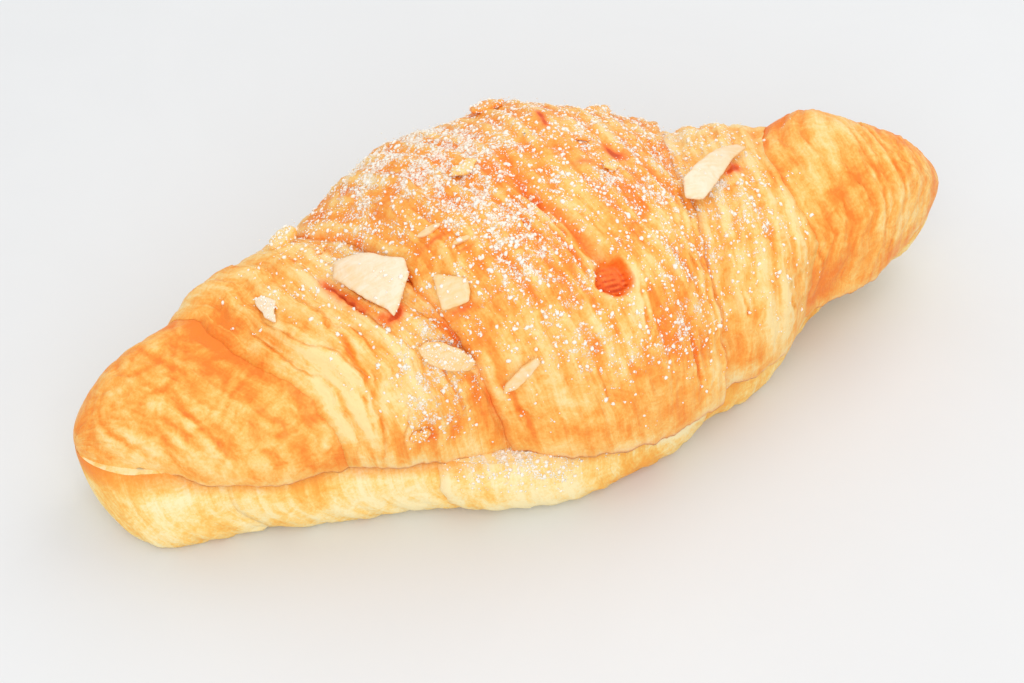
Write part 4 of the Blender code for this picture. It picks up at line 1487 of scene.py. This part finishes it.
def crust_material(name, tones, painted_shade, gap, sugar, dust_amount, streak_share):
    """Baked dough: four tones from pale to dark, shade painted into crevices, darker shadows painted under
    torn edges and almonds, layer lines and sugar dust.
    """
    material, nodes, shader = new_material(name)
    # the map of painted shade
    deep = nodes.painted("painted_shade")
    layered = nodes.painted("layered")
    mottle = nodes.place(oven_mottling(), Size=4.5 * MM, Speckle_Size=0.6 * MM)
    lines = nodes.place(layer_streaks(), Pitch=1.3 * MM, Length=16 * MM)
    dust = nodes.place(sugar_dust(), Amount=dust_amount, Grain_Size=DUST_GRAIN)["Dust"]

    streaked = nodes.added(nodes.swing(lines["Streaks"], streak_share), nodes.swing(lines["Threads"], 0.1))
    tone = nodes.added(
        nodes.painted("bake"),
        nodes.swing(mottle["Mottling"], 0.17),
        nodes.scaled(streaked, layered),
        nodes.swing(mottle["Speckle"], 0.14),
    )
    ramp = nodes.add("ShaderNodeValToRGB", {"Fac": tone})
    ramp.color_ramp.interpolation = "B_SPLINE"
    stops = ramp.color_ramp.elements
    stops.remove(stops[1])
    stops[0].position = TONE_STOPS[0]
    stops[0].color = (*tones[0], 1)
    for position, tint in zip(TONE_STOPS[1:], tones[1:]):
        stops.new(position).color = (*tint, 1)
    # painted shade: the crevice colour mixed in by that map, and over 0.9 the darker painted shadow colour
    shade_amount = nodes.scaled(deep, nodes.remap(mottle["Speckle"], 0, 1, 0.75, 1.05), clamp=True)
    colour = nodes.blend(shade_amount, ramp.outputs["Color"], painted_shade)
    colour = nodes.blend(nodes.remap(deep, 0.9, 1.25), colour, gap)

    relief = nodes.added(nodes.scaled(lines["Streaks"], 0.5), nodes.scaled(lines["Threads"], 0.25))
    height = nodes.added(
        nodes.scaled(relief, layered),
        nodes.scaled(mottle["Speckle"], 0.3),
        nodes.scaled(dust, 0.5),
    )
    gloss = nodes.remap(mottle["Mottling"], 0, 1, 0.42, 0.62)
    nodes.feed(shader, {
        "Base Color": nodes.blend(nodes.scaled(dust, DUSTED), colour, sugar),
        "Roughness": nodes.added(gloss, nodes.scaled(dust, 0.35), clamp=True),
        "Normal": nodes.bump(0.55, 0.35 * MM, height),
        "Specular IOR Level": 0.35,
        "Coat Weight": 0.08,
        "Coat Roughness": 0.35,
    })
    return material


def almond_material(name, flesh, toasted, skin, sugar):
    """Sliced almond: ivory flesh with faint grain, and a thin brown skin at the rim."""
    material, nodes, shader = new_material(name)
    mottle = nodes.place(oven_mottling(), Size=3 * MM, Speckle_Size=0.5 * MM)
    grain = nodes.place(layer_streaks(), Pitch=0.7 * MM, Length=9 * MM)["Streaks"]
    dust = nodes.place(sugar_dust(), Amount=0.6, Grain_Size=DUST_GRAIN)["Dust"]
    shade = nodes.added(
        nodes.painted("toast"), nodes.swing(mottle["Mottling"], 0.25), nodes.swing(grain, 0.15), clamp=True)
    worn = nodes.remap(nodes.remap(mottle["Mottling"], 0.25, 0.75), 0, 1, 0.0, 0.4)
    edge_share = nodes.scaled(nodes.remap(nodes.painted("rim"), 0.55, 1.0), worn)
    colour = nodes.blend(edge_share, nodes.blend(shade, flesh, toasted), skin)
    nodes.feed(shader, {
        "Base Color": nodes.blend(nodes.scaled(dust, DUSTED), colour, sugar),
        "Roughness": nodes.remap(mottle["Speckle"], 0, 1, 0.4, 0.6),
        "Normal": nodes.bump(0.4, 0.2 * MM, mottle["Speckle"]),
        "Specular IOR Level": 0.4,
    })
    return material


def sugar_material(name, sugar):
    """Icing sugar: matt white lumps, a little cream where they are damp."""
    material, nodes, shader = new_material(name)
    mottle = nodes.place(oven_mottling(), Size=1.5 * MM, Speckle_Size=0.2 * MM)
    damp = tuple(level * share for level, share in zip(sugar, (1.0, 0.93, 0.82)))
    nodes.feed(shader, {
        "Base Color": nodes.blend(nodes.remap(mottle["Mottling"], 0.4, 1.0, 0, 0.6), sugar, damp),
        "Normal": nodes.bump(0.5, 0.08 * MM, mottle["Speckle"]),
        "Roughness": 0.85,
        "Specular IOR Level": 0.25,
    })
    return material


def floor_material(name, colour):
    """A plain pale tabletop with the faintest unevenness."""
    material, nodes, shader = new_material(name)
    mottle = nodes.place(oven_mottling(), Size=60 * MM, Speckle_Size=2 * MM)
    shade = tuple(level * 0.985 for level in colour)
    nodes.feed(shader, {
        "Base Color": nodes.blend(mottle["Mottling"], colour, shade),
        "Roughness": 0.75,
        "Specular IOR Level": 0.2,
    })
    return material


def dress(piece, material, slot, *replaced):
    """Gives a finished piece its material and its body, and hides the frame's parts that it stands for; its
    slot is not used.
    """
    piece.data.materials.clear()
    piece.data.materials.append(material)
    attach(piece, BODY)
    if replaced:
        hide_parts(*replaced)


# ------------------------------------------------------------------ settings


class CrustSettings(bpy.types.PropertyGroup):
    """Colours of the baked dough, and of the shade painted on it."""

    pale: FloatVectorProperty(
        name="Pale", description="Crust that the oven has hardly coloured", subtype="COLOR",
        min=0, max=1, default=paint(252, 222, 156))
    golden: FloatVectorProperty(
        name="Golden", description="Lightly baked crust", subtype="COLOR",
        min=0, max=1, default=paint(252, 198, 104))
    amber: FloatVectorProperty(
        name="Amber", description="Well baked crust", subtype="COLOR",
        min=0, max=1, default=paint(250, 166, 62))
    # the darkest tone of the lid, and the colour of the shade painted on the base
    brown: FloatVectorProperty(
        name="Brown", description="The darkest crust", subtype="COLOR",
        min=0, max=1, default=paint(246, 134, 38))
    # the colour of the shade painted into the lid's creases, pit and under its ledges
    painted_shade: FloatVectorProperty(
        name="Painted Shade", description="Deep inside creases and under ledges", subtype="COLOR",
        min=0, max=1, default=paint(246, 104, 34))
    # the colour of the shadows painted under torn edges and almonds
    gap: FloatVectorProperty(
        name="Gap", description="Dark gaps under a torn edge", subtype="COLOR",
        min=0, max=1, default=paint(212, 76, 1))
    base_pale: FloatVectorProperty(
        name="Base Pale", description="The palest crust below the slice", subtype="COLOR",
        min=0, max=1, default=paint(254, 237, 184))
    base_golden: FloatVectorProperty(
        name="Base Golden", description="Lightly baked crust below the slice", subtype="COLOR",
        min=0, max=1, default=paint(254, 214, 118))
    base_amber: FloatVectorProperty(
        name="Base Amber", description="Well baked crust below the slice", subtype="COLOR",
        min=0, max=1, default=paint(252, 178, 68))


class ToppingSettings(bpy.types.PropertyGroup):
    """Almonds and icing sugar."""

    flesh: FloatVectorProperty(
        name="Almond", description="Flesh of the almond slices", subtype="COLOR",
        min=0, max=1, default=paint(250, 232, 204))
    toasted: FloatVectorProperty(
        name="Toasted Almond", description="Flesh where the oven has coloured it", subtype="COLOR",
        min=0, max=1, default=paint(250, 200, 128))
    skin: FloatVectorProperty(
        name="Almond Skin", description="Thin skin at the rim of a slice", subtype="COLOR",
        min=0, max=1, default=paint(214, 142, 84))
    sugar: FloatVectorProperty(
        name="Sugar", description="Icing sugar", subtype="COLOR",
        min=0, max=1, default=paint(255, 251, 242))
    lumps: IntProperty(
        name="Sugar Lumps", description="Larger lumps of icing sugar on the lid", min=0, max=5200,
        default=4540)
    grains: IntProperty(
        name="Sugar Grains", description="Small grains of icing sugar beside the lumps", min=0, max=12000,
        default=11500)
    lump_radius: FloatProperty(
        name="Lump Radius", description="Usual radius of a lump of sugar", unit="LENGTH",
        min=0.00005, max=0.001, default=0.00023)


class StageSettings(bpy.types.PropertyGroup):
    """Floor, light and camera."""

    floor: FloatVectorProperty(
        name="Floor", description="Colour of the tabletop", subtype="COLOR",
        min=0, max=1, default=paint(227, 229, 231))
    sky: FloatProperty(name="Sky", description="Strength of the light from all round", min=0, default=0.81)
    key: FloatProperty(name="Key", description="Power of the large soft lamp, in watts", min=0, default=1.8)
    fill: FloatProperty(name="Fill", description="Power of the low front lamp, in watts", min=0, default=2.9)
    lens: FloatProperty(
        name="Lens", description="Focal length in millimetres", unit="CAMERA", min=10, default=85)
    turn: FloatProperty(
        name="Turn", description="How far the camera stands to the left of the front", subtype="ANGLE",
        default=math.radians(22.78))
    tilt: FloatProperty(
        name="Tilt", description="How far the camera looks down", subtype="ANGLE", default=math.radians(45))
    distance: FloatProperty(
        name="Distance", description="From the camera to what it looks at", unit="LENGTH", default=0.4764)


# ------------------------------------------------------------------ operators


class CROISSANT_OT_lid(bpy.types.Operator):
    """Build the upper half of the roll, with its wraps, ledges, crease and pit"""

    bl_idname = "croissant.lid"
    bl_label = "Lid"

    def execute(self, context):
        crust = context.scene.croissant_crust
        tones = [tuple(tone) for tone in (crust.pale, crust.golden, crust.amber, crust.brown)]
        sugar = tuple(context.scene.croissant_topping.sugar)
        place = lay_out(lid_skin, LID_SEAMS, LID_STEP, LID_RING)
        relief = lid_relief(place) + GAP
        maps = lid_maps(place, relief)
        lid = make_crust("crust_lid", lid_skin, place, relief, LID_HOLLOW, LID_TORN, maps)
        material = crust_material(
            "brown_crust_finish", tones, tuple(crust.painted_shade), tuple(crust.gap), sugar, 0.95, 0.16)
        dress(lid, material, "brown_crust", "lid")
        return {"FINISHED"}


class CROISSANT_OT_base(bpy.types.Operator):
    """Build the lower half of the roll, with its flat underside and its front shelf"""

    bl_idname = "croissant.base"
    bl_label = "Base"

    def execute(self, context):
        crust = context.scene.croissant_crust
        tones = [tuple(tone) for tone in (crust.base_pale, crust.base_golden, crust.base_amber, crust.amber)]
        sugar = tuple(context.scene.croissant_topping.sugar)
        place = lay_out(base_skin, BASE_SEAMS, BASE_STEP, BASE_RING)
        relief = base_relief(place)
        maps = base_maps(place, relief)
        base = make_crust("crust_base", base_skin, place, relief, BASE_HOLLOW, BASE_TORN, maps)
        base.data.flip_normals()  # its rings run the other way round from the lid's
        # the base's painted shade takes the brown tone
        material = crust_material(
            "pale_crust_finish", tones, tuple(crust.brown), tuple(crust.painted_shade), sugar, 1.0, 0.12)
        dress(base, material, "pale_crust", "base")
        return {"FINISHED"}


class CROISSANT_OT_almond_slices(bpy.types.Operator):
    """Lay the five large almond slices where the frame has them"""

    bl_idname = "croissant.almond_slices"
    bl_label = "Almond Slices"

    def execute(self, context):
        topping = context.scene.croissant_topping
        material = almond_material("almond_finish", tuple(topping.flesh), tuple(topping.toasted),
                                   tuple(topping.skin), tuple(topping.sugar))
        for i, flake in enumerate(ALMOND_SLICES):
            plain = placed(flake_shape(flake, SLICE_SEED + i)[0], lid_frame(flake))
            low, high = [np.array(corner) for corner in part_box(flake.name)]
            outline = SLICE_OUTLINES.get(flake.name)
            local, faces, rim = flake_shape(flake, SLICE_SEED + i, outline, soft=0.1)
            points = placed(local, lid_frame(flake)) + (low + high) / 2 - (plain.min(0) + plain.max(0)) / 2
            toast = SLICE_TOAST[i] + SLICE_FADE[i] * local[:, 0] / MM + 0.3 * rim
            maps = {"rim": rim, "sugar": np.full(len(points), SLICE_SUGAR[i]), "toast": toast}
            piece = join_shapes(f"sliced_{flake.name}", [(points, faces, maps)])
            add_flow(piece, local[:, [1, 0, 2]])
            dress(piece, material, "almond", flake.name)
        return {"FINISHED"}


class CROISSANT_OT_bits(bpy.types.Operator):
    """Press the small almond bits and the torn flakes of crust into the lid"""

    bl_idname = "croissant.bits"
    bl_label = "Bits and Flakes"

    def execute(self, context):
        bits = pressed_in("almond_bits", ALMOND_BITS, BIT_SEED, 0.12, 0.2 * MM, bit_maps)
        dress(bits, bpy.data.materials["almond_finish"], "almond")
        flakes = pressed_in("crust_flakes", CRUST_FLAKES, FLAKE_SEED, 0.15, 0.3 * MM, crust_flake_maps)
        dress(flakes, bpy.data.materials["brown_crust_finish"], "brown_crust")
        return {"FINISHED"}


class CROISSANT_OT_sugar(bpy.types.Operator):
    """Scatter lumps of icing sugar over the lid, the almonds and the front shelf"""

    bl_idname = "croissant.sugar"
    bl_label = "Icing Sugar"

    def execute(self, context):
        topping = context.scene.croissant_topping
        rng = np.random.default_rng(SUGAR_SEED)
        grounds = {"crust_lid": topping.lumps} | LUMPS_ON
        for flake, amount in zip(ALMOND_SLICES, SLICE_SUGAR):
            grounds[f"sliced_{flake.name}"] = round(LUMPS_ON_SLICE * amount)
        found = [falls_on(bpy.data.objects[name], count, rng) for name, count in grounds.items()]
        spots, normals = [np.concatenate(parts) for parts in zip(*found)]
        beside = rng.choice(len(spots), topping.grains)
        nudge = rng.normal(0, 1, (len(beside), 3)) * rng.choice(GRAIN_DRIFTS, (len(beside), 1)) * MM
        nudge -= (nudge * normals[beside]).sum(1)[:, None] * normals[beside]
        radii = topping.lump_radius * np.exp(rng.normal(0, LUMP_SPREAD, len(spots)))
        radii = np.clip(radii, *LUMP_RADII)
        points, faces = lumps_at(LUMP_POINTS, LUMP_FACES, spots, normals, radii, rng)
        small = rng.uniform(*GRAIN_RADII, len(beside)) * MM
        grains = lumps_at(GRAIN_POINTS, GRAIN_FACES, spots[beside] + nudge, normals[beside], small, rng)
        faces = np.concatenate([faces, grains[1] + len(points)])
        points = np.clip(np.concatenate([points, grains[0]]), CAD_LOW, CAD_HIGH)
        piece = new_object("icing_sugar", points, faces.tolist())
        dress(piece, sugar_material("icing_sugar_finish", tuple(topping.sugar)), "almond")
        return {"FINISHED"}


class CROISSANT_OT_stage(bpy.types.Operator):
    """Set out the pale tabletop, the soft light and the camera"""

    bl_idname = "croissant.stage"
    bl_label = "Stage"

    def execute(self, context):
        stage = context.scene.croissant_stage
        corners = [(-1, -1), (1, -1), (1, 1), (-1, 1)]
        spots = [(x * FLOOR_REACH, y * FLOOR_REACH, 0) for x, y in corners]
        floor = new_object("floor", spots, [(0, 1, 2, 3)])
        floor.data.materials.append(floor_material("tabletop", tuple(stage.floor)))

        world = bpy.data.worlds.new("soft_room")
        world.use_nodes = True
        sky = world.node_tree.nodes["Background"]
        sky.inputs["Color"].default_value = (1, 1, 1, 1)
        sky.inputs["Strength"].default_value = stage.sky
        context.scene.world = world

        for name, power, size, spot in (
            ("key", stage.key, KEY_SIZE, KEY_PLACE),
            ("fill", stage.fill, FILL_SIZE, FILL_PLACE),
        ):
            lamp = bpy.data.lights.new(name, "AREA")
            lamp.shape = "DISK"
            lamp.size = size
            lamp.energy = power
            lamp.color = LAMP_COLOUR
            holder = bpy.data.objects.new(name, lamp)
            context.scene.collection.objects.link(holder)
            holder.location = spot
            holder.rotation_euler = (-holder.location).to_track_quat("-Z", "Y").to_euler()

        lens = bpy.data.cameras.new("camera")
        lens.lens = stage.lens
        lens.sensor_width = SENSOR_WIDTH
        lens.clip_start = CLIP_START
        camera = bpy.data.objects.new("camera", lens)
        context.scene.collection.objects.link(camera)
        back = Vector((
            -math.sin(stage.turn) * math.cos(stage.tilt),
            -math.cos(stage.turn) * math.cos(stage.tilt),
            math.sin(stage.tilt),
        ))
        camera.location = Vector(LOOK_AT) + back * stage.distance
        camera.rotation_euler = back.to_track_quat("Z", "Y").to_euler()
        context.scene.camera = camera
        context.scene.view_settings.view_transform = "Standard"
        return {"FINISHED"}


class CROISSANT_PT_panel(bpy.types.Panel):
    """The croissant's pieces and their settings"""

    bl_label = "Almond Croissant"
    bl_idname = "CROISSANT_PT_panel"
    bl_space_type = "VIEW_3D"
    bl_region_type = "UI"
    bl_category = "Croissant"

    def draw(self, context):
        for label, settings in (
            ("Crust", context.scene.croissant_crust),
            ("Topping", context.scene.croissant_topping),
            ("Stage", context.scene.croissant_stage),
        ):
            box = self.layout.box()
            box.label(text=label)
            for name in settings.__annotations__:
                box.prop(settings, name)
        for operator in OPERATORS:
            self.layout.operator(operator.bl_idname)


SETTINGS = {
    "croissant_crust": CrustSettings,
    "croissant_topping": ToppingSettings,
    "croissant_stage": StageSettings,
}
OPERATORS = (
    CROISSANT_OT_lid,
    CROISSANT_OT_base,
    CROISSANT_OT_almond_slices,
    CROISSANT_OT_bits,
    CROISSANT_OT_sugar,
    CROISSANT_OT_stage,
)


def register():
    for name, kind in SETTINGS.items():
        bpy.utils.register_class(kind)
        setattr(bpy.types.Scene, name, PointerProperty(type=kind))
    for kind in (*OPERATORS, CROISSANT_PT_panel):
        bpy.utils.register_class(kind)


def unregister():
    for kind in (CROISSANT_PT_panel, *reversed(OPERATORS)):
        bpy.utils.unregister_class(kind)
    for name, kind in SETTINGS.items():
        delattr(bpy.types.Scene, name)
        bpy.utils.unregister_class(kind)


def main():
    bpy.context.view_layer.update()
    register()
    bpy.ops.croissant.lid()
    bpy.ops.croissant.base()
    bpy.ops.croissant.almond_slices()
    bpy.ops.croissant.bits()
    bpy.ops.croissant.sugar()
    bpy.ops.croissant.stage()


if __name__ == "__main__":
    main()
